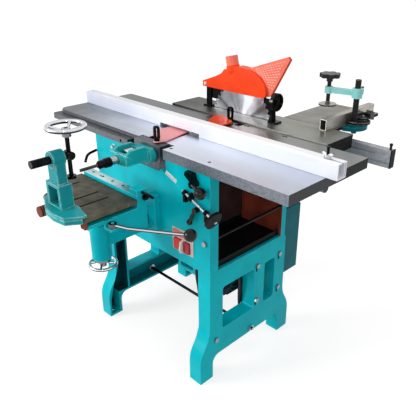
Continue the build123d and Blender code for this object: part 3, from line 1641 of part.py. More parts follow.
def switch_housing():
    """Switch plate on the front wall with a raised bezel and a pocket for each button."""
    right = switch_left + switch_width
    low = body_bottom + switch_rise
    face = body_front - switch_plate
    button_low = low + button_rise
    button_high = button_low + button_height
    plate = block(switch_left, right, face, body_front, low, low + switch_height)
    plate += block(switch_left + 4, right - 4, face - switch_bezel, face, button_low - 4, button_high + 4)
    for left, width in ((stop_left, stop_width), (start_left, start_width)):
        x0, x1 = button_span(left, width)
        plate -= block(x0 - slide_gap, x1 + slide_gap, face - switch_bezel - 4, body_front - 1,
                       button_low - slide_gap, button_high + slide_gap)
    return plate


def push_button(left, width):
    """Push button standing out of the switch by more than its travel."""
    x0, x1 = button_span(left, width)
    low = body_bottom + switch_rise + button_rise
    back = body_front - switch_plate + 2 - button_travel
    button = block(x0, x1, back - button_thickness, back, low, low + button_height)
    return fillet(button.edges().filter_by(Axis.Y), button_corner)


def cable_clip():
    """Place of the clip under the chip tray that holds the motor cable."""
    return frame_inside - 33, body_front + 24, body_bottom + 2


def chip_tray():
    """Black sheet that keeps chips off the motor, with a lip at its end and the cable's clip below."""
    left = partition_x + partition_thickness
    right = half_body - wall
    front = body_front + wall
    back = body_rear - wall
    tray = block(left, right, front, back, tray_low, tray_low + tray_sheet)
    tray += block(right - tray_sheet, right, front, back, tray_low, tray_low + tray_lip)
    x, y, low = cable_clip()
    half = clip_size / 2
    return tray + block(x - half, x + half, y - half, y + half, low, tray_low)


def motor_cable():
    """Cable that hangs in a loop from the terminal box to the clip under the tray, behind the switch."""
    clip_x, clip_y, clip_low = cable_clip()
    inside = frame_inside
    points = [
        (gland_x, gland_y, gland_low), (gland_x + 14, gland_y - 1, gland_low - 27),
        (inside + 7, 5, 285), (inside - 3, 13, 225), (inside - 10, 26, 145), (inside - 13, 22, 88),
        (inside - 16, -12, 50), (inside - 20, -62, 38), (inside - 24, -110, 62), (inside - 29, -138, 126),
        (inside - 33, -150, 215), (inside - 35, -156, 318), (clip_x, clip_y, 372),
        (clip_x, clip_y, clip_low - slide_gap),
    ]
    bends = []
    for before, here, after in zip(points, points[1:], points[2:]):
        run_in = Vector(*here) - Vector(*before)
        run_out = Vector(*after) - Vector(*here)
        half_turn = radians(run_in.get_angle(run_out)) / 2
        bends.append(0.45 * min(run_in.length, run_out.length) / tan(half_turn))
    path = FilletPolyline(*points, radius=bends)
    cable = sweep(Plane(path @ 0, z_dir=path % 0) * Circle(cable_radius), path)
    share = cable.volume / (pi * cable_radius**2 * path.length)
    print("cable bends", [round(bend) for bend in bends])
    print("cable length", round(path.length), "volume share", round(share, 3))
    return cable


leg_frame = plain_leg_frame()
nodes = {
    "main_casting": main_casting(),
    "leg_frame_left": mirror(leg_frame, about=Plane.YZ),
    "leg_frame_right": motor_leg_frame(leg_frame),
    "tie_rod": tie_rod(),
    "frame_fasteners": frame_fasteners(),
    "motor_body": motor_body(),
    "motor_pulley": motor_pulley(),
    "spindle_pulley": pulley(spindle_pulley_radius, 0, spindle_z, shaft_radius),
    "drive_belt": drive_belt(),
    "belt_cover": belt_cover(),
    "spindle_shaft": spindle_shaft(),
    "cutter_block": cutter_block(),
    "planer_knives": planer_knives(),
    "saw_blade": saw_blade(),
    "drill_chuck": drill_chuck(),
    "drill_bit": drill_bit(),
    "bearing_housings": bearing_housings(),
    "outfeed_table": outfeed_table(),
    "infeed_table": infeed_table(),
    "infeed_screw": infeed_screw(),
    "infeed_handwheel": infeed_handwheel(),
    "table_lock_lever": table_lock_lever(),
    "slide_lock_lever": slide_lock_lever(),
    "fence": planer_fence(),
    "fence_wing_screw": fence_wing_screw(),
    "planer_guard_front": planer_guard_front(),
    "planer_guard_rear": planer_guard_rear(),
    "planer_guard_posts": planer_guard_posts(),
    "saw_table": saw_table(),
    "slide_rail": slide_rail(),
    "sliding_table": sliding_table(),
    "table_end_bracket": table_end_bracket(),
    "protractor": protractor(),
    "mitre_fence": mitre_fence(),
    "mitre_knob": mitre_knob(),
    "clamp_arm": clamp_arm(),
    "clamp_wing_knob": clamp_wing_knob(),
    "clamp_screw": clamp_screw(),
    "clamp_star_knob": clamp_star_knob(),
    "saw_guard": saw_guard(),
    "saw_guard_post": saw_guard_post(),
    "saw_front_post": saw_front_post(),
    "front_post_knob": front_post_knob(),
    "mortise_head": mortise_head(),
    "mortise_bracket": mortise_bracket(),
    "mortise_saddle": mortise_saddle(),
    "mortise_cross_slide": mortise_cross_slide(),
    "mortise_table": mortise_table(),
    "mortise_lever": mortise_lever(),
    "lever_ball": lever_ball(),
    "column_handwheel": column_handwheel(),
    "hold_down_bracket": hold_down_bracket(),
    "hold_down_arm": hold_down_arm(),
    "hold_down_screw": hold_down_screw(),
    "hold_down_handwheel": hold_down_handwheel(),
    "switch_plate": switch_housing(),
    "stop_button": push_button(stop_left, stop_width),
    "start_button": push_button(start_left, start_width),
    "chip_tray": chip_tray(),
    "motor_cable": motor_cable(),
}

os.makedirs("parts", exist_ok=True)
for name, shape in nodes.items():
    export_step(shape, f"parts/{name}.step")
print(len(nodes), "nodes")
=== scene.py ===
import json
from math import cos, pi, radians, sin

import bmesh
import bpy
from mathutils import Matrix, Vector

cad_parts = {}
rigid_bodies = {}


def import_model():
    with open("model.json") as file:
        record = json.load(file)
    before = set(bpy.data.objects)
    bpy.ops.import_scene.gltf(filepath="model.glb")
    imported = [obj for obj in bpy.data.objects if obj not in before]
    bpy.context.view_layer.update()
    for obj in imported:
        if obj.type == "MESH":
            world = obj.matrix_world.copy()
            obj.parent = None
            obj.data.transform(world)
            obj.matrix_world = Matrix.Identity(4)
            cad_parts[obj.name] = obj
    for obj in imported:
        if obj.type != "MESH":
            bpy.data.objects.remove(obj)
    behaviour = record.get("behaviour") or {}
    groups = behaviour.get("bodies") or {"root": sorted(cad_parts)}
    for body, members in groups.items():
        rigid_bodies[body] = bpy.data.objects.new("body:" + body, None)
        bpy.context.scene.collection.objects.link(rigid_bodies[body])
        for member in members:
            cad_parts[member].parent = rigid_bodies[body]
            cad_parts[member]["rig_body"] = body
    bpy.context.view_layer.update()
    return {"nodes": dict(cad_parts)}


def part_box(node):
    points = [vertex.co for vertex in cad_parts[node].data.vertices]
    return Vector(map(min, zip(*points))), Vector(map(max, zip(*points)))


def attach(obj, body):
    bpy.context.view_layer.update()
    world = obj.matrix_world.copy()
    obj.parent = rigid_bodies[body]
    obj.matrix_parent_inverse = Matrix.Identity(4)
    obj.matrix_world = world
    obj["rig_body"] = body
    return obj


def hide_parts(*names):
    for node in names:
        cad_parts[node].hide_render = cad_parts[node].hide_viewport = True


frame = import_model()


# Viewpoint: the machine is seen from its front right corner and from above its tables, by someone
# standing two steps away. The picture is 416 wide and 401 high.
picture_width = 416
focal_pixels = 512.52
stand = Vector((1.26528, -1.15566, 1.32483))
azimuth = radians(45.47)
elevation = radians(24.92)
roll = radians(-0.14)
look = Vector((-sin(azimuth) * cos(elevation), cos(azimuth) * cos(elevation), -sin(elevation)))
level = Vector((cos(azimuth), sin(azimuth), 0.0))
rightward = cos(roll) * level + sin(roll) * level.cross(look)
upward = rightward.cross(look)
camera = bpy.data.objects.new("camera", bpy.data.cameras.new("camera"))
camera.data.sensor_width = 36.0
camera.data.lens = camera.data.sensor_width * focal_pixels / picture_width
camera.matrix_world = Matrix.Translation(stand) @ Matrix((rightward, upward, -look)).transposed().to_4x4()
bpy.context.collection.objects.link(camera)
bpy.context.scene.camera = camera
bpy.context.scene.view_settings.view_transform = "Standard"


# Studio: a pale floor under an even white sky, with a very broad lamp low at the front left and a window
# before it, a weak lamp at the right, and a small window at the front right that puts a spark on
# polished things.
def linear(code):
    """Linear colour of an sRGB hex code."""
    parts = [int(code[first:first + 2], 16) / 255 for first in (1, 3, 5)]
    return [part / 12.92 if part <= 0.04045 else ((part + 0.055) / 1.055) ** 2.4 for part in parts] + [1.0]


def fill(tree, node, sockets):
    """Give a node's sockets their values, or links from other nodes."""
    for name, value in sockets.items():
        if isinstance(value, bpy.types.NodeSocket):
            tree.links.new(value, node.inputs[name])
        else:
            node.inputs[name].default_value = value


def add(tree, kind, sockets, out=0, **settings):
    """Add a node with its settings and sockets, and give one of its outputs, if it has any."""
    made = tree.nodes.new(kind)
    for name, value in settings.items():
        setattr(made, name, value)
    fill(tree, made, sockets)
    return made.outputs[out] if made.outputs else None


def seen_directly(tree):
    """One where the eye sees the surface itself or its mirror image, nought where it only gives light."""
    seen = add(tree, "ShaderNodeLightPath", {}, out="Is Camera Ray")
    for ray in ("Is Glossy Ray", "Is Transmission Ray"):
        also = add(tree, "ShaderNodeLightPath", {}, out=ray)
        seen = add(tree, "ShaderNodeMath", {0: seen, 1: also}, operation="ADD", use_clamp=True)
    return seen


sky_light, sky_white = 0.75, 1.0
sky = bpy.data.worlds.new("studio_sky")
bpy.context.scene.world = sky
sky.use_nodes = True
sky.node_tree.nodes.clear()
sky_level = add(sky.node_tree, "ShaderNodeMapRange",
                {"Value": seen_directly(sky.node_tree), "To Min": sky_light, "To Max": sky_white})
sky_shader = add(sky.node_tree, "ShaderNodeBackground", {"Color": linear("#ffffff"), "Strength": sky_level})
add(sky.node_tree, "ShaderNodeOutputWorld", {"Surface": sky_shader})


def surface(name):
    """A new material with its node tree and its main shader."""
    made = bpy.data.materials.new(name)
    made.use_nodes = True
    return made, made.node_tree, made.node_tree.nodes["Principled BSDF"]


# Floor paint: pale matt grey, lifted to white for the eye alone, so that it keeps the machine's shadow.
floor_paint, floor_tree, floor_shader = surface("floor_paint")
floor_white = 0.66
floor_glow = add(floor_tree, "ShaderNodeMapRange",
                 {"Value": seen_directly(floor_tree), "To Min": 0.0, "To Max": floor_white})
fill(floor_tree, floor_shader, {"Base Color": linear("#b4b4b2"), "Roughness": 0.9,
                                "Emission Color": linear("#ffffff"), "Emission Strength": floor_glow})
floor_reach = 40.0
floor_mesh = bpy.data.meshes.new("floor")
floor_corners = [(-floor_reach, -floor_reach, 0), (floor_reach, -floor_reach, 0),
                 (floor_reach, floor_reach, 0), (-floor_reach, floor_reach, 0)]
floor_mesh.from_pydata(floor_corners, [], [(0, 1, 2, 3)])
floor_mesh.materials.append(floor_paint)
floor = bpy.data.objects.new("floor", floor_mesh)
bpy.context.collection.objects.link(floor)

machine_middle = Vector((0, 0, 0.6))
for lamp_name, lamp_place, watts, lamp_width in [("front_lamp", (-2.0, -4.4, 1.8), 34, 5.0),
                                                 ("side_lamp", (4.6, 0.6, 1.2), 5, 3.0),
                                                 ("spark_window", (2.9, -2.9, 2.3), 14, 0.4),
                                                 ("left_window", (-2.4, -3.8, 2.0), 108, 1.5)]:
    lamp = bpy.data.objects.new(lamp_name, bpy.data.lights.new(lamp_name, "AREA"))
    lamp.data.energy = watts
    lamp.data.size = lamp_width
    lamp.location = lamp_place
    lamp.rotation_euler = (machine_middle - lamp.location).to_track_quat("-Z", "Y").to_euler()
    bpy.context.collection.objects.link(lamp)


# Leg frames: two ribbed iron castings with flared feet, painted in teal machine enamel. They carry
# the cast body, and a black tie rod with hexagon nuts holds them at their distance.
def repeat(millimetres):
    """Scale of a pattern that repeats at that distance."""
    return 1000 / millimetres


def enamel(name, paint, thin, edge, gloss, highlight_band=3.0):
    """Machine enamel over a casting: cloudy where the coat varies, slightly peeled like an orange, paler
    in spots along the edges as a painted highlight over a band of that many millimetres, and darkened
    by painted shade in the hollows. The peel is drawn three times coarser, to show."""
    made, tree, shader = surface(name)
    place = add(tree, "ShaderNodeTexCoord", {}, out="Object")
    cloud = add(tree, "ShaderNodeTexNoise", {"Vector": place, "Scale": repeat(110), "Detail": 5.0})
    coat = add(tree, "ShaderNodeMapRange", {"Value": cloud, "From Min": 0.36, "From Max": 0.64})
    body = add(tree, "ShaderNodeMix", {0: coat, 6: linear(thin), 7: linear(paint)}, out=2, data_type="RGBA")
    # Painted highlight: the edges turn paler in spots, standing in for light caught along them.
    rounded = add(tree, "ShaderNodeBevel", {"Radius": highlight_band / 1000}, samples=4)
    facing = add(tree, "ShaderNodeNewGeometry", {}, out="Normal")
    same = add(tree, "ShaderNodeVectorMath", {0: rounded, 1: facing}, out="Value", operation="DOT_PRODUCT")
    edge_highlight = add(tree, "ShaderNodeMapRange", {"Value": same, "From Min": 0.99, "From Max": 0.8, "To Max": 0.85})
    highlight_spot_noise = add(tree, "ShaderNodeTexNoise", {"Vector": place, "Scale": repeat(16), "Detail": 4.0})
    spots = add(tree, "ShaderNodeMapRange",
                {"Value": highlight_spot_noise, "From Min": 0.36, "From Max": 0.6, "To Min": 0.25})
    edge_highlight_mask = add(tree, "ShaderNodeMath", {0: edge_highlight, 1: spots}, operation="MULTIPLY")
    coated = add(tree, "ShaderNodeMix", {0: edge_highlight_mask, 6: body, 7: linear(edge)}, out=2, data_type="RGBA")
    # Painted shade: the colour is darkened where the casting hems the surface in.
    open_sky = add(tree, "ShaderNodeAmbientOcclusion", {"Distance": 0.03}, out="AO", samples=4,
                   only_local=True)
    crevice_shade = add(tree, "ShaderNodeMapRange",
                {"Value": open_sky, "From Min": 0.2, "From Max": 0.7, "To Min": 0.45})
    colour = add(tree, "ShaderNodeVectorMath", {0: coated, "Scale": crevice_shade}, operation="SCALE")
    peel = add(tree, "ShaderNodeTexNoise", {"Vector": place, "Scale": repeat(6), "Detail": 2.0})
    bumps = add(tree, "ShaderNodeBump", {"Height": peel, "Strength": 0.12, "Distance": 0.0008})
    shine = add(tree, "ShaderNodeMapRange", {"Value": cloud, "To Min": gloss - 0.08, "To Max": gloss + 0.12})
    fill(tree, shader, {"Base Color": colour, "Normal": bumps, "Roughness": shine, "IOR": 1.5,
                        "Specular IOR Level": 0.08})
    return made


def dress(material, *names):
    """Give pieces of the frame a finish."""
    for name in names:
        frame["nodes"][name].data.materials.clear()
        frame["nodes"][name].data.materials.append(material)


def settle(name, shape, body, materials):
    """Turn a shape into a piece with crisp flats and soft rounded edges, and let it ride on a body."""
    mesh = bpy.data.meshes.new(name)
    shape.to_mesh(mesh)
    shape.free()
    for material in materials:
        mesh.materials.append(material)
    for polygon in mesh.polygons:
        polygon.use_smooth = True
    mesh.set_sharp_from_angle(angle=radians(42))
    made = bpy.data.objects.new(name, mesh)
    made.modifiers.new("even_flats", "WEIGHTED_NORMAL").keep_sharp = True
    bpy.context.collection.objects.link(made)
    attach(made, body)
    return made


def eased(node, radius, *materials, choose=None):
    """The same piece with its edges rounded as they leave the mould or the file. choose picks a
    material for each face by its middle and the way it looks, in millimetres."""
    shape = bmesh.new()
    shape.from_mesh(frame["nodes"][node].data)
    bmesh.ops.remove_doubles(shape, verts=shape.verts, dist=0.00001)
    bmesh.ops.dissolve_limit(shape, angle_limit=radians(0.6), verts=shape.verts, edges=shape.edges,
                             use_dissolve_boundaries=False, delimit=set())
    if choose:
        for face in shape.faces:
            face.material_index = choose(face.calc_center_median() * 1000, face.normal)
    corners = [edge for edge in shape.edges
               if len(edge.link_faces) == 2 and edge.calc_face_angle() > radians(40)]
    bmesh.ops.bevel(shape, geom=corners, offset=radius / 1000, offset_type="OFFSET", segments=2, profile=0.5,
                    affect="EDGES", clamp_overlap=False, material=-1)
    made = settle(node + "_eased", shape, frame["nodes"][node]["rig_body"], materials)
    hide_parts(node)
    return made


# Teal enamel: sprayed two-pack machine paint, glossy, cloudy teal with a paler line along each edge, a
# painted highlight.
teal_enamel = enamel("teal_enamel", "#00bfca", "#00aebb", "#8fe3e8", 0.3)
# Shaded enamel: the hollows of the legs, darkened as painted shade.
shaded_enamel = enamel("shaded_teal_enamel", "#005460", "#00444f", "#2a8a94", 0.36)
# Half-shaded enamel: the hollows of the rails, darkened less, as painted shade.
half_shaded_enamel = enamel("half_shaded_teal_enamel", "#00808c", "#00707b", "#4ba6b1", 0.34)
web_x, hollow_x = 283.0, 261.0
leg_inner_y, leg_outer_y = 120.0, 170.0


# Painted shade: the webs and hollow sides take the dark enamel on the legs and the half-dark one on the rail.
def leg_frame_shade(middle, facing):
    on_web = abs(facing.x) > 0.5 and abs(abs(middle.x) - web_x) < 3
    outside = abs(middle.y) > leg_outer_y and facing.y * middle.y > 0
    on_hollow_side = abs(abs(middle.x) - hollow_x) < 0.2 and not outside
    if not on_web and not on_hollow_side:
        return 0
    return 1 if abs(middle.y) > leg_inner_y else 2


for side in ("left", "right"):
    eased(f"leg_frame_{side}", 2.0, teal_enamel, shaded_enamel, half_shaded_enamel, choose=leg_frame_shade)


def bare_metal(name, bright, dull, roughness, lines, patch, along=(0.03, 1.0, 1.0)):
    """Metal without paint: fine tool lines along one way, and broader patches dulled by hands and air."""
    made, tree, shader = surface(name)
    place = add(tree, "ShaderNodeTexCoord", {}, out="Object")
    drawn = add(tree, "ShaderNodeMapping", {"Vector": place, "Scale": along})
    strokes = add(tree, "ShaderNodeTexNoise", {"Vector": drawn, "Scale": repeat(lines), "Detail": 3.0})
    stain = add(tree, "ShaderNodeTexNoise", {"Vector": place, "Scale": repeat(patch), "Detail": 5.0})
    mixed = add(tree, "ShaderNodeMath", {0: strokes, 1: stain}, operation="ADD")
    tone = add(tree, "ShaderNodeMapRange", {"Value": mixed, "From Min": 0.75, "From Max": 1.25})
    colour = add(tree, "ShaderNodeMix", {0: tone, 6: linear(dull), 7: linear(bright)}, out=2,
                 data_type="RGBA")
    shine = add(tree, "ShaderNodeMapRange", {"Value": mixed, "From Min": 0.6, "From Max": 1.4,
                                             "To Min": roughness + 0.1, "To Max": max(roughness - 0.1, 0.04)})
    scratch = add(tree, "ShaderNodeBump", {"Height": strokes, "Strength": 0.08, "Distance": 0.0004})
    fill(tree, shader, {"Base Color": colour, "Roughness": shine, "Normal": scratch, "Metallic": 1.0})
    return made


def reach(node):
    """A piece's lowest and highest corners, in millimetres."""
    return [corner * 1000 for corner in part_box(node)]


# Blackened steel: turned bar with an oiled black oxide skin, a dark soft sheen with greyer rubbed spots.
black_oxide = bare_metal("black_oxide_steel", "#202123", "#0e0e0f", 0.34, 2.0, 40)
# Zinc plate: bright bluish plating on bolts and nuts, slightly clouded.
zinc_plate = bare_metal("zinc_plated_steel", "#d4d6d9", "#a9acb0", 0.3, 3.0, 12)
rod_low, rod_high = reach("tie_rod")
rod_middle = (rod_low + rod_high) / 2
rod_radius = 6.5


def tie_rod_finish(middle, facing):
    on_nut = (middle.yz - rod_middle.yz).length > rod_radius
    return 1 if on_nut or abs(facing.x) > 0.9 else 0


eased("tie_rod", 0.5, black_oxide, zinc_plate, choose=tie_rod_finish)
# Dulled zinc: the frame's bolts, greyed by overspray and damp.
dulled_zinc = bare_metal("dulled_zinc_steel", "#a3a9ad", "#737a80", 0.36, 3.0, 12)
dress(dulled_zinc, "frame_fasteners")


# Cast body: a box casting with inclined ways for the infeed table, bolted on the leg frames. Outside
# it is enamelled; inside, in the open ends, only a coat of red oxide primer covers the iron.
# Red oxide primer: brushed iron-oxide paint, quite matt, brown-red with darker dusty clouds.
oxide_primer = enamel("red_oxide_primer", "#ad4c39", "#84392b", "#b56a57", 0.62)
# Shaded primer: the same coat by the cutter and behind the front wall, darkened nearly to black as painted
# shade.
shaded_primer = enamel("shaded_oxide_primer", "#472f2e", "#281d1d", "#57403c", 0.5)
chamber_floor, chamber_half = 440.0, 100.0
partition_x = 93.0
front_wall_y = -193.6
screw_lug_x, screw_lug_low, screw_lug_high = 180.0, 560.0, 720.0


def casting_coat(middle, facing):
    in_chamber = middle.z > chamber_floor
    if in_chamber and facing.y < -0.5 and middle.y > chamber_half:
        return 1
    # Painted shade: the front wall's inner face and the partition take the darkened primer.
    behind_front_wall = facing.y > 0.5 and middle.y < -chamber_half
    on_partition = abs(facing.x) > 0.5 and abs(middle.x - partition_x) < 12
    if in_chamber and (behind_front_wall or on_partition):
        return 2
    on_lug = middle.y < front_wall_y and middle.x > screw_lug_x and screw_lug_low < middle.z < screw_lug_high
    return 3 if on_lug else 0


eased("main_casting", 2.0, teal_enamel, oxide_primer, shaded_primer, black_oxide, choose=casting_coat)


# Body fittings: a black stay bar across the open right end, a hooked black lever at the left end, a
# bright bolt in the front wall, and a bright collar on the tie rod inside the left frame.
def at(x, y, z):
    """A place given in millimetres."""
    return Vector((x, y, z)) / 1000


def turned(name, profile, start, axis, body, material, sides=32):
    """A turned piece: radii at distances along an axis, in millimetres. Six sides give a hexagon."""
    axis = Vector(axis).normalized()
    first = axis.orthogonal().normalized()
    second = axis.cross(first)
    shape = bmesh.new()
    rings = []
    for radius, along in profile:
        ring = []
        for step in range(sides):
            turn = 2 * pi * step / sides
            out = (first * cos(turn) + second * sin(turn)) * radius
            ring.append(shape.verts.new(start + (axis * along + out) / 1000))
        rings.append(ring)
    for ring, following in zip(rings, rings[1:]):
        for step in range(sides):
            ahead = (step + 1) % sides
            shape.faces.new((ring[step], ring[ahead], following[ahead], following[step]))
    shape.faces.new(reversed(rings[0]))
    shape.faces.new(rings[-1])
    return settle(name, shape, body, [material])


def bolt_head(name, across, start, axis, body, material):
    """A hexagon bolt head on its washer, with the corners turned off."""
    corner = across / 2 / cos(pi / 6)
    high = across * 0.65
    washer = [(across * 0.75, 0), (across * 0.82, 0.4), (across * 0.82, 1.6), (across * 0.75, 2)]
    head = [(corner, 2), (corner, high), (across / 2 - 0.5, 2 + high)]
    turned(name + "_washer", washer, start, axis, body, material)
    turned(name, head, start, axis, body, material, sides=6)


def bent_round(name, route, radius, body, material, roundness=5):
    """A round bar or flex along a smooth route of places."""
    line = bpy.data.curves.new(name, "CURVE")
    line.dimensions = "3D"
    line.bevel_depth = radius / 1000
    line.bevel_resolution = roundness
    line.use_fill_caps = True
    run = line.splines.new("NURBS")
    run.points.add(len(route) - 1)
    for point, position in zip(run.points, route):
        point.co = (*position, 1.0)
    run.order_u = 3
    run.use_endpoint_u = True
    run.resolution_u = 12
    line.materials.append(material)
    made = bpy.data.objects.new(name, line)
    bpy.context.collection.objects.link(made)
    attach(made, body)
    return made


stay_route = [at(286, 176, 548), at(286, 80, 547), at(286, -80, 546), at(286, -179, 545)]
bent_round("stay_bar", stay_route, 5, "base", black_oxide)
hook_route = [at(-298, -192, 700), at(-299, -206, 697), at(-300, -222, 694), at(-300, -236, 686),
              at(-300, -243, 664)]
bent_round("hook_lever", hook_route, 5, "base", black_oxide)
bolt_head("wall_bolt", 13, at(-182, -193, 741), (0, -1, 0), "base", zinc_plate)
turned("tie_rod_collar", [(14, 0), (15, 1), (15, 4), (13, 5)], at(-273, rod_middle.y, rod_middle.z),
       (1, 0, 0), "base", zinc_plate)


# Chip tray, motor and drive: a folded black sheet tray under the cutter, a finned motor hung on the
# right frame, and a flat belt to the spindle behind a teal sheet cover.
def slabs(name, outlines, thickness, ease, body, material):
    """Flat pieces made as one: outlines of places, pushed through by a thickness, with eased edges."""
    shape = bmesh.new()
    for outline in outlines:
        low = [shape.verts.new(corner) for corner in outline]
        high = [shape.verts.new(corner + thickness) for corner in outline]
        shape.faces.new(low)
        shape.faces.new(reversed(high))
        for step in range(len(low)):
            shape.faces.new((low[step - 1], high[step - 1], high[step], low[step]))
    bmesh.ops.recalc_face_normals(shape, faces=shape.faces)
    corners = [edge for edge in shape.edges if edge.calc_face_angle() > radians(20)]
    bmesh.ops.bevel(shape, geom=corners, offset=ease / 1000, offset_type="OFFSET", segments=2, profile=0.5,
                    affect="EDGES", clamp_overlap=True, material=-1)
    return settle(name, shape, body, [material])


def slab(name, outline, thickness, ease, body, material):
    """One flat piece."""
    return slabs(name, [outline], thickness, ease, body, material)


# Black sheet: folded steel with a thin satin stove paint, paler at the bends as a painted highlight.
black_sheet = enamel("black_stove_paint", "#141516", "#0d0e0f", "#2b2d30", 0.45)
dress(black_sheet, "chip_tray")
tray_low, tray_high = reach("chip_tray")
upstand_x, upstand_low, upstand_high = tray_low.x - 2.4, 431.0, 449.7
slab("tray_upstand", [at(upstand_x, tray_low.y, upstand_low), at(upstand_x, tray_high.y, upstand_low),
                      at(upstand_x, tray_high.y, upstand_high), at(upstand_x, tray_low.y, upstand_high)],
     at(2.2, 0, 0), 0.5, "base", black_sheet)
# Motor enamel: the same teal, darkened nearly to black as painted shade, on the finned casting.
shaded_motor_enamel = enamel("shaded_motor_enamel", "#072a33", "#051f27", "#1f5d68", 0.38)
dress(shaded_motor_enamel, "motor_body")
# Machined pulley iron: turned grey iron with fine rings and an oily dullness.
turned_iron = bare_metal("turned_grey_iron", "#8f9093", "#66676a", 0.38, 2.0, 30, along=(1.0, 0.2, 1.0))
dress(turned_iron, "motor_pulley", "spindle_pulley")
# Rubber sheath: extruded and matt, greyed by sawdust in soft patches, with a faint bloom.
rubber_sheath, tree, shader = surface("rubber_sheath")
place = add(tree, "ShaderNodeTexCoord", {}, out="Object")
dust = add(tree, "ShaderNodeTexNoise", {"Vector": place, "Scale": repeat(35), "Detail": 4.0})
dusty = add(tree, "ShaderNodeMapRange", {"Value": dust, "From Min": 0.4, "From Max": 0.75})
sheath = add(tree, "ShaderNodeMix", {0: dusty, 6: linear("#121213"), 7: linear("#2b2a29")}, out=2,
             data_type="RGBA")
dulled = add(tree, "ShaderNodeMapRange", {"Value": dust, "To Min": 0.5, "To Max": 0.75})
pores = add(tree, "ShaderNodeTexNoise", {"Vector": place, "Scale": repeat(2)})
bumps = add(tree, "ShaderNodeBump", {"Height": pores, "Strength": 0.15, "Distance": 0.0004})
fill(tree, shader, {"Base Color": sheath, "Roughness": dulled, "Normal": bumps, "IOR": 1.52})
dress(rubber_sheath, "drive_belt")
# Cover enamel: a thin darker spray on the folded sheet.
cover_enamel = enamel("cover_enamel", "#006c78", "#005c67", "#4ba6b1", 0.32)
eased("belt_cover", 1.2, cover_enamel)


# Motor cable: round rubber-sheathed flex. It leaves the gland of the terminal box, hangs behind the
# right leg in a long loop and rises to the clip under the chip tray.
cable_diameter = 0.010
cable_route = [
    (0.222, 0.008, 0.352), (0.236, 0.007, 0.325), (0.246, 0.005, 0.285), (0.236, 0.013, 0.225),
    (0.229, 0.026, 0.145), (0.226, 0.022, 0.088), (0.223, -0.012, 0.050), (0.219, -0.062, 0.038),
    (0.215, -0.110, 0.062), (0.210, -0.138, 0.126), (0.206, -0.150, 0.215), (0.204, -0.156, 0.318),
    (0.206, -0.169, 0.372), (0.206, -0.169, 0.4237),
]
motor_flex = bent_round("motor_flex", cable_route, cable_diameter * 500, "base", rubber_sheath, roundness=6)
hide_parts("motor_cable")


# Spindle and cutter: a ground steel shaft in two bearing housings, a round cutter block with three
# knives, and a looped black post for each of the two swinging guards.
# Ground tool steel: cylindrically ground and honed, bright and smooth with faint rings.
ground_steel = bare_metal("ground_tool_steel", "#d0d2d6", "#a6a9ad", 0.22, 3.0, 60, along=(1.0, 0.1, 1.0))
dress(ground_steel, "spindle_shaft", "cutter_block", "planer_knives")
dress(black_oxide, "planer_guard_posts")
# Guard paint: red enamel on die-cast arms; the front one is a pinkish red, a painted reflection on its red.
front_guard_sheen_paint = enamel("pink_red_enamel_painted_sheen", "#f2a5a8", "#ec9294", "#f9d0ce", 0.3)
rear_guard_paint = enamel("signal_red_enamel", "#f0501f", "#e04318", "#f58a60", 0.3)
eased("planer_guard_front", 0.7, front_guard_sheen_paint)
# The rear guard is a broad blade with an eye round its pivot.
rear_pivot_x, rear_pivot_y, rear_eye_radius = 34.0, 170.0, 11.0
rear_guard_low, rear_guard_thick = 806.2, 4.8
rear_guard = [(64, 6), (66, 144), (50, 160)]
for degrees in range(-40, -321, -20):
    rear_guard.append((rear_pivot_x + rear_eye_radius * cos(radians(degrees)),
                       rear_pivot_y + rear_eye_radius * sin(radians(degrees))))
rear_guard += [(30, 184), (-24, 184), (-42, 160), (-9, 104), (14, 52), (14, 6)]
rear_guard_plate = slab("rear_guard_plate", [at(x, y, rear_guard_low) for x, y in rear_guard],
                        at(0, 0, rear_guard_thick), 0.8, "rear_guard", rear_guard_paint)
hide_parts("planer_guard_rear")


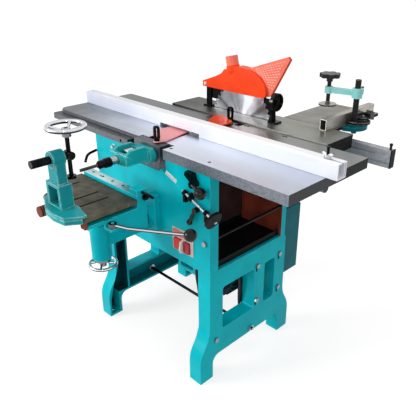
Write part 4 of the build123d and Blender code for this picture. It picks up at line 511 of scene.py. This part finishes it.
# Planer tables: two ribbed iron castings with ground tops. The outfeed table has a rebating ledge; the
# infeed table sits on a wedge base that slides on the ways and is enamelled below its plate.
def ground_top(name, start, end, far, near, behind=None, dull=0.5, bright=0.34, metallic=1.0):
    """Metal planed, ground or drawn lengthways: soft straight lines, changing tone along its length with
    the polish that work gives it, and of another tone behind the fence. The lines are drawn about ten
    times coarser than the grit, to show."""
    made, tree, shader = surface(name)
    place = add(tree, "ShaderNodeTexCoord", {}, out="Object")
    drawn = add(tree, "ShaderNodeMapping", {"Vector": place, "Scale": (0.02, 1.0, 1.0)})
    strokes = add(tree, "ShaderNodeTexNoise", {"Vector": drawn, "Scale": repeat(9), "Detail": 4.0})
    stain = add(tree, "ShaderNodeTexNoise", {"Vector": place, "Scale": repeat(140), "Detail": 5.0})
    lengthways = add(tree, "ShaderNodeSeparateXYZ", {"Vector": place}, out="X")
    run = add(tree, "ShaderNodeMapRange",
              {"Value": lengthways, "From Min": start / 1000, "From Max": end / 1000})
    lift = add(tree, "ShaderNodeMapRange", {"Value": stain, "From Min": 0.3, "From Max": 0.7,
                                            "To Min": -0.15, "To Max": 0.15})
    line = add(tree, "ShaderNodeMapRange", {"Value": strokes, "From Min": 0.3, "From Max": 0.7,
                                            "To Min": -0.1, "To Max": 0.1})
    patchy = add(tree, "ShaderNodeMath", {0: lift, 1: line}, operation="ADD")
    tone = add(tree, "ShaderNodeMath", {0: run, 1: patchy}, operation="ADD", use_clamp=True)
    colour = add(tree, "ShaderNodeMix", {0: tone, 6: linear(far), 7: linear(near)}, out=2, data_type="RGBA")
    if behind:
        across = add(tree, "ShaderNodeSeparateXYZ", {"Vector": place}, out="Y")
        behind_fence = add(tree, "ShaderNodeMapRange", {"Value": across, "From Min": -0.01, "From Max": 0.03})
        colour = add(tree, "ShaderNodeMix", {0: behind_fence, 6: colour, 7: linear(behind)}, out=2,
                     data_type="RGBA")
    shine = add(tree, "ShaderNodeMapRange", {"Value": stain, "To Min": dull, "To Max": bright})
    scratch = add(tree, "ShaderNodeBump", {"Height": strokes, "Strength": 0.06, "Distance": 0.0004})
    fill(tree, shader, {"Base Color": colour, "Roughness": shine, "Normal": scratch, "Metallic": metallic})
    return made


# Ground grey iron: cool and bright where timber polishes it, greyer towards the far ends.
outfeed_ground = ground_top("ground_grey_iron_outfeed", -560, -60, "#70757a", "#c3c9d2", "#77797c")
infeed_ground = ground_top("ground_grey_iron_infeed", 40, 640, "#d8dde7", "#b9bdc8", "#939492")
# Rebating ledge: the same iron, planed but never polished by work.
ledge_ground = ground_top("planed_grey_iron_ledge", -560, -90, "#3f4246", "#484b50", "#77797c")
# Milled iron edge: speckled grey, cut across the casting's grain and left rough.
milled_edge = bare_metal("milled_iron_edge", "#82868f", "#696c74", 0.5, 4.0, 7, along=(1.0, 1.0, 1.0))
# Oiled iron edge: the same cut on the outfeed table and the bearing housings, dull with oil.
oiled_edge = bare_metal("oiled_iron_edge", "#6e7076", "#5a5c61", 0.5, 4.0, 7, along=(1.0, 1.0, 1.0))
# Cast end: iron left as cast and darkened by oil.
cast_end = ground_top("oiled_cast_end", -600, 600, "#434447", "#424346", "#232426", dull=0.6, bright=0.5)
table_low, table_top = 767.0, 800.0
body_half_length = 296.0
screw_nut_top = 730.0


def table_finish(middle, facing):
    if middle.y < front_wall_y and middle.x > screw_lug_x and middle.z < screw_nut_top:
        return 5
    over_body = abs(middle.x) <= body_half_length
    if middle.z < table_low - 0.5 and over_body or facing.z < -0.5:
        return 2
    if facing.z > 0.7:
        return 0 if middle.z > table_top - 1 else 4
    return 3 if abs(facing.x) > 0.7 else 1


eased("outfeed_table", 1.0, outfeed_ground, oiled_edge, teal_enamel, cast_end, ledge_ground,
      choose=table_finish)
eased("infeed_table", 1.0, infeed_ground, milled_edge, teal_enamel, cast_end, ledge_ground, black_oxide,
      choose=table_finish)
eased("bearing_housings", 1.2, oiled_edge)
for number, (screw_x, screw_y) in enumerate([(118, 172), (286, 172)]):
    turned(f"table_screw_{number}", [(5, -0.5), (5, 0.2), (4.4, 0.5), (2.4, 0.5), (2.2, 0.1)],
           at(screw_x, screw_y, table_top), (0, 0, 1), "infeed", black_sheet)


# Infeed scale: a small plate of white plastic sheet, riveted along the wedge of the infeed table. Its
# plain black graduations show the depth of cut.
def moulded(name, colour, deep, roughness, grain, gloss=0.3):
    """Moulded plastic: one colour through, with a fine pebbled skin and handled, shinier patches. gloss
    is how strongly its skin mirrors."""
    made, tree, shader = surface(name)
    place = add(tree, "ShaderNodeTexCoord", {}, out="Object")
    handled = add(tree, "ShaderNodeTexNoise", {"Vector": place, "Scale": repeat(45), "Detail": 3.0})
    pebble = add(tree, "ShaderNodeTexNoise", {"Vector": place, "Scale": repeat(grain), "Detail": 2.0})
    tone = add(tree, "ShaderNodeMapRange", {"Value": handled, "From Min": 0.35, "From Max": 0.65})
    skin = add(tree, "ShaderNodeMix", {0: tone, 6: linear(deep), 7: linear(colour)}, out=2, data_type="RGBA")
    shine = add(tree, "ShaderNodeMapRange", {"Value": handled, "To Min": roughness + 0.08,
                                             "To Max": max(roughness - 0.08, 0.05)})
    bumps = add(tree, "ShaderNodeBump", {"Height": pebble, "Strength": 0.06, "Distance": 0.0004})
    fill(tree, shader, {"Base Color": skin, "Roughness": shine, "Normal": bumps, "IOR": 1.5,
                        "Specular IOR Level": gloss})
    return made


# Printed plate: white plastic sheet, satin and clean.
scale_white = moulded("white_printed_plate", "#eef0ee", "#dcdfdd", 0.45, 4.0)
way_slope = 0.412
way_fall = Vector((1.0, 0.0, -way_slope)).normalized()
way_rise = Vector((way_slope, 0.0, 1.0)).normalized()
scale_start = at(95, -193.4, 719)
scale_long = way_fall * 0.054
scale_wide = way_rise * 0.014
slab("depth_scale", [scale_start, scale_start + scale_long, scale_start + scale_long + scale_wide,
                     scale_start + scale_wide], at(0, -1.0, 0), 0.3, "infeed", scale_white)
mark_count, mark_pitch, mark_margin, mark_width = 12, 0.004, 0.005, 0.0008
mark_foot = way_rise * 0.002 + at(0, -0.95, 0)
long_mark, short_mark = 0.009, 0.005
depth_marks = []
for step in range(mark_count):
    mark = scale_start + way_fall * (mark_margin + mark_pitch * step) + mark_foot
    across = way_fall * mark_width
    tall = way_rise * (long_mark if step % 4 == 0 else short_mark)
    depth_marks.append([mark, mark + across, mark + across + tall, mark + tall])
slabs("depth_marks", depth_marks, at(0, -0.25, 0), 0.05, "infeed", rubber_sheath)


# Feed and locks: a threaded feed screw with a black handwheel, and two black levers with ball ends
# that clamp the infeed table on its ways.
# Phenolic: pressed black resin, glossy as it leaves the mould.
phenolic = moulded("black_phenolic", "#070708", "#040404", 0.07, 2.5, gloss=0.28)
dress(zinc_plate, "infeed_screw")
dress(black_sheet, "infeed_handwheel")
dress(phenolic, "table_lock_lever", "slide_lock_lever")


# Fence: a hollow aluminium extrusion lying across both tables, natural anodised, with two ribs along
# its top and a wing screw that clamps it at its right end.
# Anodised aluminium: satin, nearly white, with faint drawing lines along the bar, and greyer at the far
# end, which hands and timber touch least. The oxide layer hides part of the metal's shine.
anodised = ground_top("anodised_aluminium", -600, 100, "#c0c5d6", "#e4e7ee", "#e4e7ee", dull=0.62, bright=0.5,
                      metallic=0.4)
# The top faces take a brighter copy of the anodised finish, a painted highlight; the ribs share it.
anodised_painted_highlight = ground_top("anodised_aluminium_painted_highlight", -600, 400, "#dadce1", "#fcfcfd", "#fcfcfd", dull=0.7,
                          bright=0.6, metallic=0.4)
fence_low, fence_high = reach("fence")


def fence_finish(middle, facing):
    # Top faces get the painted highlight.
    return 1 if facing.z > 0.7 else 0


eased("fence", 0.8, anodised, anodised_painted_highlight, choose=fence_finish)
rib_start, rib_end, rib_foot = fence_low.x + 1, fence_high.x - 1, fence_high.z
for number, rib_y in enumerate((-36.0, -30.0)):
    slab(f"fence_rib_{number}", [at(rib_start, rib_y - 1, rib_foot), at(rib_end, rib_y - 1, rib_foot),
                                 at(rib_end, rib_y + 1, rib_foot), at(rib_start, rib_y + 1, rib_foot)],
         at(0, 0, 0.8), 0.3, "planer_fence", anodised_painted_highlight)
stud_bottom = reach("fence_wing_screw")[1].z - 18


def wing_screw_finish(middle, facing):
    return 1 if middle.z > stud_bottom else 0


eased("fence_wing_screw", 0.4, zinc_plate, black_oxide, choose=wing_screw_finish)


# Saw table and blade: a planed iron table with a slot for a 300 mm blade on the end of the spindle.
# The blade has forty teeth with deep gullets.
# Planed iron: warm grey with an oily film, darker at the far end, under the hood.
saw_iron = ground_top("planed_grey_iron_saw", -300, 120, "#3a3936", "#94938c")
# Cast edge: iron left as cast, nearly black and rough.
cast_edge = bare_metal("dark_cast_edge", "#211f1e", "#131211", 0.6, 5.0, 12, along=(1.0, 1.0, 1.0))


def saw_table_finish(middle, facing):
    return 0 if facing.z > 0.7 or facing.y < -0.7 else 1


eased("saw_table", 1.0, saw_iron, cast_edge, choose=saw_table_finish)
# Blade steel: ground flat on a turning table, with bright rays from its middle as a painted reflection, and
# browned by resin at the teeth. The rays go by the way out from the middle alone, so their scale is no
# distance.
blade_middle = at(0, 268, 770)
blade_bright, blade_rim = 0.146, 0.152
blade_steel, tree, shader = surface("ground_blade_steel")
place = add(tree, "ShaderNodeTexCoord", {}, out="Object")
outward = add(tree, "ShaderNodeVectorMath", {0: place, 1: blade_middle}, operation="SUBTRACT")
away = add(tree, "ShaderNodeVectorMath", {0: outward}, out="Value", operation="LENGTH")
way = add(tree, "ShaderNodeVectorMath", {0: outward}, operation="NORMALIZE")
# Painted reflection: bright and dark rays round the middle.
ray = add(tree, "ShaderNodeTexNoise", {"Vector": way, "Scale": 2.6, "Detail": 2.0})
film = add(tree, "ShaderNodeTexNoise", {"Vector": place, "Scale": repeat(50), "Detail": 4.0})
film_and_painted_rays = add(tree, "ShaderNodeMath", {0: film, 1: 0.3, 2: ray}, operation="MULTIPLY_ADD")
painted_ray_tone = add(tree, "ShaderNodeMapRange", {"Value": film_and_painted_rays, "From Min": 0.5, "From Max": 0.72})
steel = add(tree, "ShaderNodeMix", {0: painted_ray_tone, 6: linear("#85888f"), 7: linear("#e2e4ea")}, out=2,
            data_type="RGBA")
burnt = add(tree, "ShaderNodeMapRange", {"Value": away, "From Min": blade_bright, "From Max": blade_rim})
tint = add(tree, "ShaderNodeMix", {0: burnt, 6: steel, 7: linear("#2f2c2b")}, out=2, data_type="RGBA")
rings = add(tree, "ShaderNodeTangent", {}, direction_type="RADIAL", axis="Y")
haze = add(tree, "ShaderNodeMapRange", {"Value": film, "To Min": 0.22, "To Max": 0.38})
fill(tree, shader, {"Base Color": tint, "Tangent": rings, "Roughness": haze, "Metallic": 1.0,
                    "Anisotropic": 0.75, "Anisotropic Rotation": 0.25})
blade_low, blade_high = reach("saw_blade")
blade_radius = (blade_high.x - blade_low.x) / 2
blade_teeth = 40
# Each tooth: its place between one tip and the next, and how far it stands in from the tip.
tooth_form = [(0.0, 0.0), (0.48, 4.0), (0.6, 11.0), (0.78, 13.0), (0.94, 9.0)]
blade_outline = []
for tooth in range(blade_teeth):
    for share, inset in tooth_form:
        turn = 2 * pi * (tooth + share) / blade_teeth
        out = (blade_radius - inset) / 1000
        blade_outline.append(Vector((blade_middle.x + out * cos(turn), blade_low.y / 1000,
                                     blade_middle.z + out * sin(turn))))
toothed_blade = slab("toothed_blade", blade_outline, at(0, blade_high.y - blade_low.y, 0), 0.2, "spindle",
                     blade_steel)
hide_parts("saw_blade")


# Stay plates: black sheet behind the blade's rim, one screwed to the hood's post and one behind the front
# post, with a spacer that keeps it clear of the teeth. The rear plate is partly a holder and partly a dark
# sheet put as painted shade inside the hood's rear.
def upright(x0, x1, y, z0, z1):
    """Corners of an upright oblong that faces the front."""
    return [at(x0, y, z0), at(x1, y, z0), at(x1, y, z1), at(x0, y, z1)]


stay_y, stay_thick = 270.4, 2.2
rear_stay = [(-158, 838), (-158, 888), (-88, 888), (-122, 838)]
front_stay = [(100, 806.2), (159, 806.2), (159, 880), (102, 884)]
for stay_name, stay_outline in (("rear_stay_plate", rear_stay), ("stay_plate", front_stay)):
    slab(stay_name, [at(x, stay_y, z) for x, z in stay_outline], at(0, stay_thick, 0), 0.3, "base",
         black_sheet)
slab("stay_spacer", upright(151, 159, 267.6, 812, 870), at(0, 3.4, 0), 0.3, "base", black_sheet)


# Saw hood: a moulded orange-red hood over the blade, hung at its tail on a black post. Its wing has
# rows of short raised ribs, and a pale screw holds the pivot.
# Hood plastic: injection moulded ABS, saturated orange-red with a soft gloss.
hood_plastic = moulded("orange_red_abs", "#ff4c1a", "#f44314", 0.34, 3.0, gloss=0.15)
# Pale plastic: the same ABS in a paler tone, a painted highlight on the wing and the port; the switch's strip
# has the same tone.
pale_red_plastic = moulded("pale_orange_red_abs", "#f37a63", "#ee6d55", 0.36, 3.0)
# Rib plastic: the ribs' crests, paler as a painted highlight.
rib_highlight_plastic = moulded("orange_red_abs_rib_highlight", "#fbb3a4", "#f59a88", 0.4, 3.0)
# Ivory nylon: moulded caps, warm white and satin.
pale_plastic = moulded("ivory_nylon", "#eeebe4", "#d9d5cc", 0.4, 3.0)
hood_plane = 268.0
hood_pivot_x, hood_pivot_z, hood_half_width = -176.0, 896.0, 18.0
port_low = 984.0


def hood_finish(middle, facing):
    # The wing's faces and the port take the paler plastic as a painted highlight.
    on_wing = abs(facing.y) > 0.9 and abs(middle.y - hood_plane) < 9
    on_port = middle.z > port_low and middle.x < 0
    return 1 if on_wing or on_port else 0


eased("saw_guard", 1.0, hood_plastic, pale_red_plastic, choose=hood_finish)
wing_top_start, wing_top_end = Vector((62, 0, 983)), Vector((204, 0, 1032))
wing_low_start, wing_low_end = Vector((104, 0, 926)), Vector((152, 0, 914))
wing_half_width = 6.9
rib_rows = 10
rib_pitch, rib_length, rib_half, rib_margin = 12.5, 9.5, 2.0, 4.0
pivot_cap = [(7, 0), (7, 2.2), (6, 3.6), (3.5, 4.2), (3.2, 3.4)]
for side in (-1, 1):
    rib_y = hood_plane + side * wing_half_width
    wing_ribs = []
    for row in range(rib_rows):
        share = (row + 0.8) / (rib_rows + 0.6)
        row_start = wing_top_start.lerp(wing_low_start, share)
        row_end = wing_top_end.lerp(wing_low_end, share)
        row_way = (row_end - row_start).normalized()
        for rib in range(int((row_end - row_start).length / rib_pitch)):
            near = row_start + row_way * (rib_margin + rib_pitch * rib)
            far = near + row_way * rib_length
            wing_ribs.append([at(near.x, rib_y, near.z - rib_half), at(far.x, rib_y, far.z - rib_half),
                              at(far.x, rib_y, far.z + rib_half), at(near.x, rib_y, near.z + rib_half)])
    slabs(f"wing_ribs_{side + 1}", wing_ribs, at(0, side * 1.4, 0), 0.5, "saw_hood", rib_highlight_plastic)
    turned(f"hood_pivot_cap_{side + 1}", pivot_cap,
           at(hood_pivot_x, hood_plane + side * hood_half_width, hood_pivot_z), (0, side, 0), "saw_hood",
           pale_plastic)
dress(black_oxide, "saw_guard_post", "saw_front_post")
dress(phenolic, "front_post_knob")


# Rail and sliding table: an extruded aluminium rail with black end caps behind the saw table, and a
# planed table that runs on it, with an enamelled half-round bracket at its end.
# Mill-finish aluminium: as extruded, a soft grey mottled by its oxide.
mill_aluminium = bare_metal("mill_finish_aluminium", "#bcbec4", "#989aa0", 0.45, 5.0, 14,
                            along=(1.0, 1.0, 1.0))
eased("slide_rail", 0.8, mill_aluminium)
rail_low, rail_high = reach("slide_rail")
cap_thick, cap_lip = 4.0, 1.0
cap_front, cap_back = rail_low.y - cap_lip, rail_high.y + cap_lip
cap_low, cap_high = rail_low.z - cap_lip, rail_high.z + cap_lip
for side, cap_x in (("right", rail_high.x), ("left", rail_low.x - cap_thick)):
    slab(f"rail_cap_{side}", [at(cap_x, cap_front, cap_low), at(cap_x, cap_back, cap_low),
                              at(cap_x, cap_back, cap_high), at(cap_x, cap_front, cap_high)],
         at(cap_thick, 0, 0), 1.2, "base", black_sheet)
turned("rail_cap_stud", [(4, 0), (4, 13), (5.5, 13), (5.5, 19), (4.5, 20)],
       at(rail_high.x - 8, (rail_low.y + rail_high.y) / 2, rail_high.z), (0, 0, 1), "base", black_oxide)
# Planed iron: the saw table's warm grey, even all over.
planed_iron = bare_metal("planed_grey_iron", "#918f88", "#83817a", 0.45, 8.0, 90)
eased("sliding_table", 1.0, planed_iron, cast_edge, choose=saw_table_finish)
eased("table_end_bracket", 1.0, cover_enamel)


# Mitre head: a dark cast protractor with a ground rim, an aluminium fence tube, and a clamp that slides
# on a black post and presses the work down with a screw under a star knob.
# Blackened casting: brushed black paint over iron, with a bright painted highlight along its rims.
black_iron_rim_highlight = enamel("black_iron_painted_rim_highlight", "#2b2a29", "#1a1919", "#d2d1cd", 0.36, highlight_band=4.5)
eased("protractor", 0.6, black_iron_rim_highlight)
# Worn aluminium: the fence tube, greyed and warm from years of timber; on the clamp pad's top it is a painted
# highlight.
worn_aluminium_and_highlight = bare_metal("worn_aluminium_and_highlight", "#bdb9b2", "#97938b", 0.45, 5.0, 120, along=(1.0, 0.03, 1.0))
# Sawn aluminium: the fence tube's cut ends, left bright by the saw.
sawn_aluminium = bare_metal("sawn_aluminium", "#eceae6", "#d8d5cf", 0.4, 5.0, 40)


def mitre_fence_finish(middle, facing):
    return 1 if abs(facing.y) > 0.7 else 0


eased("mitre_fence", 0.6, worn_aluminium_and_highlight, sawn_aluminium, choose=mitre_fence_finish)
# Charcoal nylon: moulded knobs, dark grey and satin.
grey_plastic = moulded("charcoal_nylon", "#1f1f20", "#161617", 0.35, 3.0)
dress(grey_plastic, "mitre_knob", "clamp_star_knob", "clamp_wing_knob")
# Pale enamel: a thinner, lighter coat of the teal on the clamp arm.
pale_teal = enamel("pale_teal_enamel", "#9adcd8", "#84cfcb", "#d9f4f2", 0.34, highlight_band=5.0)
eased("clamp_arm", 0.8, pale_teal)
pad_top = reach("clamp_screw")[0].z + 14


def clamp_screw_finish(middle, facing):
    return 1 if middle.z < pad_top and facing.z > 0.5 else 0


# The pad's top takes the pale aluminium as a painted highlight.
eased("clamp_screw", 0.6, black_iron_rim_highlight, worn_aluminium_and_highlight, choose=clamp_screw_finish)


# Mortiser head: an open cast casing on the front wall, round the nose of the spindle, with a black
# drill chuck and a slot drill.
# Head enamel: the teal in a fresher coat, with a pale painted highlight along the rim.
head_enamel = enamel("head_teal_enamel", "#1cb4b6", "#13a2a6", "#bcefec", 0.3, highlight_band=5.0)
eased("mortise_head", 1.5, head_enamel)
eased("mortise_bracket", 1.5, teal_enamel)
head_axis_z, ring_start_y, ring_length = 770.0, -276.0, 30.0
ring_outer, ring_inner = 24.0, 14.6
ring_outline = []
for radius, sweep in ((ring_outer, range(-20, 201, 10)), (ring_inner, range(200, -21, -10))):
    for degrees in sweep:
        ring_outline.append(at(radius * cos(radians(degrees)), ring_start_y,
                               head_axis_z + radius * sin(radians(degrees))))
slab("bearing_ring", ring_outline, at(0, ring_length, 0), 1.0, "base", ground_steel)
dress(black_oxide, "drill_chuck")
turned("chuck_nut", [(12, 0), (15.5, 1), (15.5, 7), (14.5, 8), (15.5, 9), (15.5, 20), (13.5, 22)],
       at(0, -353.8, head_axis_z), (0, 1, 0), "spindle", black_oxide)
# Oiled dark steel: the slot drill, hardened and left dark by its heat and by oil.
dark_steel = bare_metal("oiled_dark_steel", "#5d5c58", "#3f3e3b", 0.45, 4.0, 40, along=(1.0, 1.0, 1.0))
dress(dark_steel, "drill_bit")


# Mortise table: a slotted iron table on a cross slide and a saddle that a handwheel lifts on its
# column; a bright lever with a black ball moves it sideways, and a bracket holds the work down.
def bar_with_painted_reflection(name, bright, dark, roughness, slope, reached):
    """Plated or polished bar, mirror smooth, with a painted reflection: brightest where its side leans up by
    that slope, and darker away from there, with a faint cloud from fingers."""
    made, tree, shader = surface(name)
    place = add(tree, "ShaderNodeTexCoord", {}, out="Object")
    facing = add(tree, "ShaderNodeNewGeometry", {}, out="Normal")
    leaning = add(tree, "ShaderNodeSeparateXYZ", {"Vector": facing}, out="Z")
    off = add(tree, "ShaderNodeMath", {0: leaning, 1: slope}, operation="SUBTRACT")
    away = add(tree, "ShaderNodeMath", {0: off}, operation="ABSOLUTE")
    hands = add(tree, "ShaderNodeTexNoise", {"Vector": place, "Scale": repeat(30), "Detail": 4.0})
    cloudy = add(tree, "ShaderNodeMapRange", {"Value": hands, "To Min": -0.02, "To Max": 0.02})
    mixed = add(tree, "ShaderNodeMath", {0: away, 1: cloudy}, operation="ADD")
    # Painted reflection: the colour runs from bright to dark as the side leans away from that slope.
    painted_reflection_fade = add(tree, "ShaderNodeMapRange",
                   {"Value": mixed, "From Min": reached / 3, "From Max": reached})
    colour = add(tree, "ShaderNodeMix", {0: painted_reflection_fade, 6: linear(bright), 7: linear(dark)}, out=2,
                 data_type="RGBA")
    shine = add(tree, "ShaderNodeMapRange", {"Value": hands, "To Min": roughness, "To Max": roughness + 0.1})
    fill(tree, shader, {"Base Color": colour, "Roughness": shine, "Metallic": 1.0})
    return made


# Machined guide: milled bright and wiped with oil, tinted teal as a painted reflection of the paint.
ground_guide = bare_metal("milled_guide", "#e6f4f4", "#b9d3d4", 0.3, 5.0, 50)
guide_low = 690.0


def saddle_finish(middle, facing):
    return 1 if middle.z > guide_low and facing.z > 0.7 else 0


eased("mortise_saddle", 1.2, teal_enamel, ground_guide, choose=saddle_finish)
eased("mortise_cross_slide", 1.0, cast_edge)
# Browned iron: the planed table top, browned by oil and fine dust.
brown_iron = bare_metal("browned_iron", "#625f50", "#4b4940", 0.5, 20.0, 90, along=(1.0, 1.0, 1.0))
eased("mortise_table", 1.0, brown_iron)
# Bracket enamel: the teal on a casting that is handled all day, with a wide pale painted highlight along its
# edges.
bracket_enamel = enamel("teal_enamel_wide_edge_highlight", "#1fa0a4", "#158d94", "#d4f6f4", 0.32, highlight_band=6.0)
eased("hold_down_bracket", 1.0, bracket_enamel)
# The bracket's broad foot reaches over the table's front edge, with its corners cut off, and an apron
# hangs from it there.
foot_low, foot_thick, apron_low, apron_thick, table_edge_y = 690.3, 9.0, 676.0, 14.3, -525.5
front_edge = [(-58, -534), (14, -570), (66, -576), (114, -569), (139, -530)]
foot_outline = [(-58, -500), *front_edge, (139, -512), (72, -500)]
slab("hold_down_foot", [at(x, y, foot_low) for x, y in foot_outline], at(0, 0, foot_thick), 1.5,
     "mortiser_table", bracket_enamel)
apron_outline = [(-58, table_edge_y), *front_edge, (139, table_edge_y)]
slab("hold_down_apron", [at(x, y, apron_low) for x, y in apron_outline], at(0, 0, apron_thick), 1.5,
     "mortiser_table", bracket_enamel)
# Chrome plate: bright nickel-chrome on turned steel, with a painted reflection, bright above and dark below.
chrome = bar_with_painted_reflection("chrome_plate", "#dfe1e5", "#3d4147", 0.06, 0.6, 0.7)
dress(chrome, "column_handwheel", "hold_down_handwheel")
# Polished lever: blackened bar with a bright painted highlight along its upper side.
polished_lever = bar_with_painted_reflection("blackened_steel_painted_highlight", "#d9dae6", "#131318", 0.1, 0.45, 0.5)
dress(polished_lever, "mortise_lever")
dress(phenolic, "lever_ball")
dress(black_oxide, "hold_down_arm", "hold_down_screw")


# Guide fittings: an enamelled stop block at the guide's right end, a black locking rod with its nut, a
# brown gib end and a ribbed primer-red hand nut under the table's front edge.
guide_top, guide_middle_y = 700.0, -323.0
slab("guide_stop", [at(101, -342, guide_top), at(140, -342, guide_top), at(140, -303, guide_top),
                    at(101, -303, guide_top)], at(0, 0, 17), 2.5, "saddle", teal_enamel)
rod_route = [at(139, -322, 708), at(155, -322, 708), at(172, -320, 706), at(186, -317, 702)]
bent_round("guide_rod", rod_route, 4.5, "saddle", black_oxide)
for number, guide_x in enumerate((-118, -64, -10, 44)):
    turned(f"guide_screw_{number}", [(4.5, -0.5), (4.5, 0.2), (4, 0.5), (2.2, 0.5), (2, 0.1)],
           at(guide_x, guide_middle_y, guide_top), (0, 0, 1), "saddle", black_oxide)
bolt_head("guide_nut", 14, at(139.8, -312, 690), (1, 0, 0), "saddle", black_oxide)
# Brown primer: the red oxide coat on the gib and the hand nut, browned by oil from hands.
brown_primer = enamel("browned_oxide_primer", "#86493d", "#6c382e", "#a56f61", 0.6)
lug_y, lug_top = -524.5, 675.8
slab("gib_end", upright(118, 141, lug_y, 655, lug_top), at(0, 10, 0), 1.5, "mortiser_table", brown_primer)
slab("nut_lug", upright(-76, -38, lug_y, 640, lug_top), at(0, 10, 0), 1.5, "mortiser_table", brown_primer)
nut_pitch, nut_groove, nut_crest = 7, 13, 17
hand_nut = []
for ring in range(5):
    start = nut_pitch * ring
    hand_nut += [(nut_groove, start), (nut_crest, start + 1.5), (nut_crest, start + 4.5),
                 (nut_groove, start + 6)]
turned("hand_nut", hand_nut, at(-57, -524, 655), (0, -1, 0), "mortiser_table", brown_primer)


# Switch: a pale moulded plate on the front wall with two red push buttons and a white block between them
# that keeps a hand from pressing both. A bare red strip crosses its top.
# Plate plastic: pinkish-white urea moulding, a little yellowed.
plate_plastic = moulded("ivory_urea", "#e6d6d0", "#d8c6bf", 0.35, 3.0)
# Button red: the stop button, a bright red urea moulding with a soft gloss.
button_red = moulded("red_urea", "#e2271f", "#cf1f19", 0.3, 3.0)
# Dark red: the start button, in a deeper shade of the same moulding.
button_dark = moulded("dark_red_urea", "#b3202a", "#99182a", 0.3, 3.0)
eased("switch_plate", 1.0, plate_plastic)
eased("stop_button", 2.5, button_red)
eased("start_button", 1.0, button_dark)
block_x, block_wide = 176.8, 6.4
block_outline = [(-199.8, 466), (-214, 470), (-219, 484), (-214, 510), (-199.8, 516)]
slab("switch_block", [at(block_x, y, z) for y, z in block_outline], at(block_wide, 0, 0), 1.2, "base",
     pale_plastic)
slab("switch_strip", upright(130, 216, -199.9, 520, 539), at(0, -0.8, 0), 0.3, "base", pale_red_plastic)
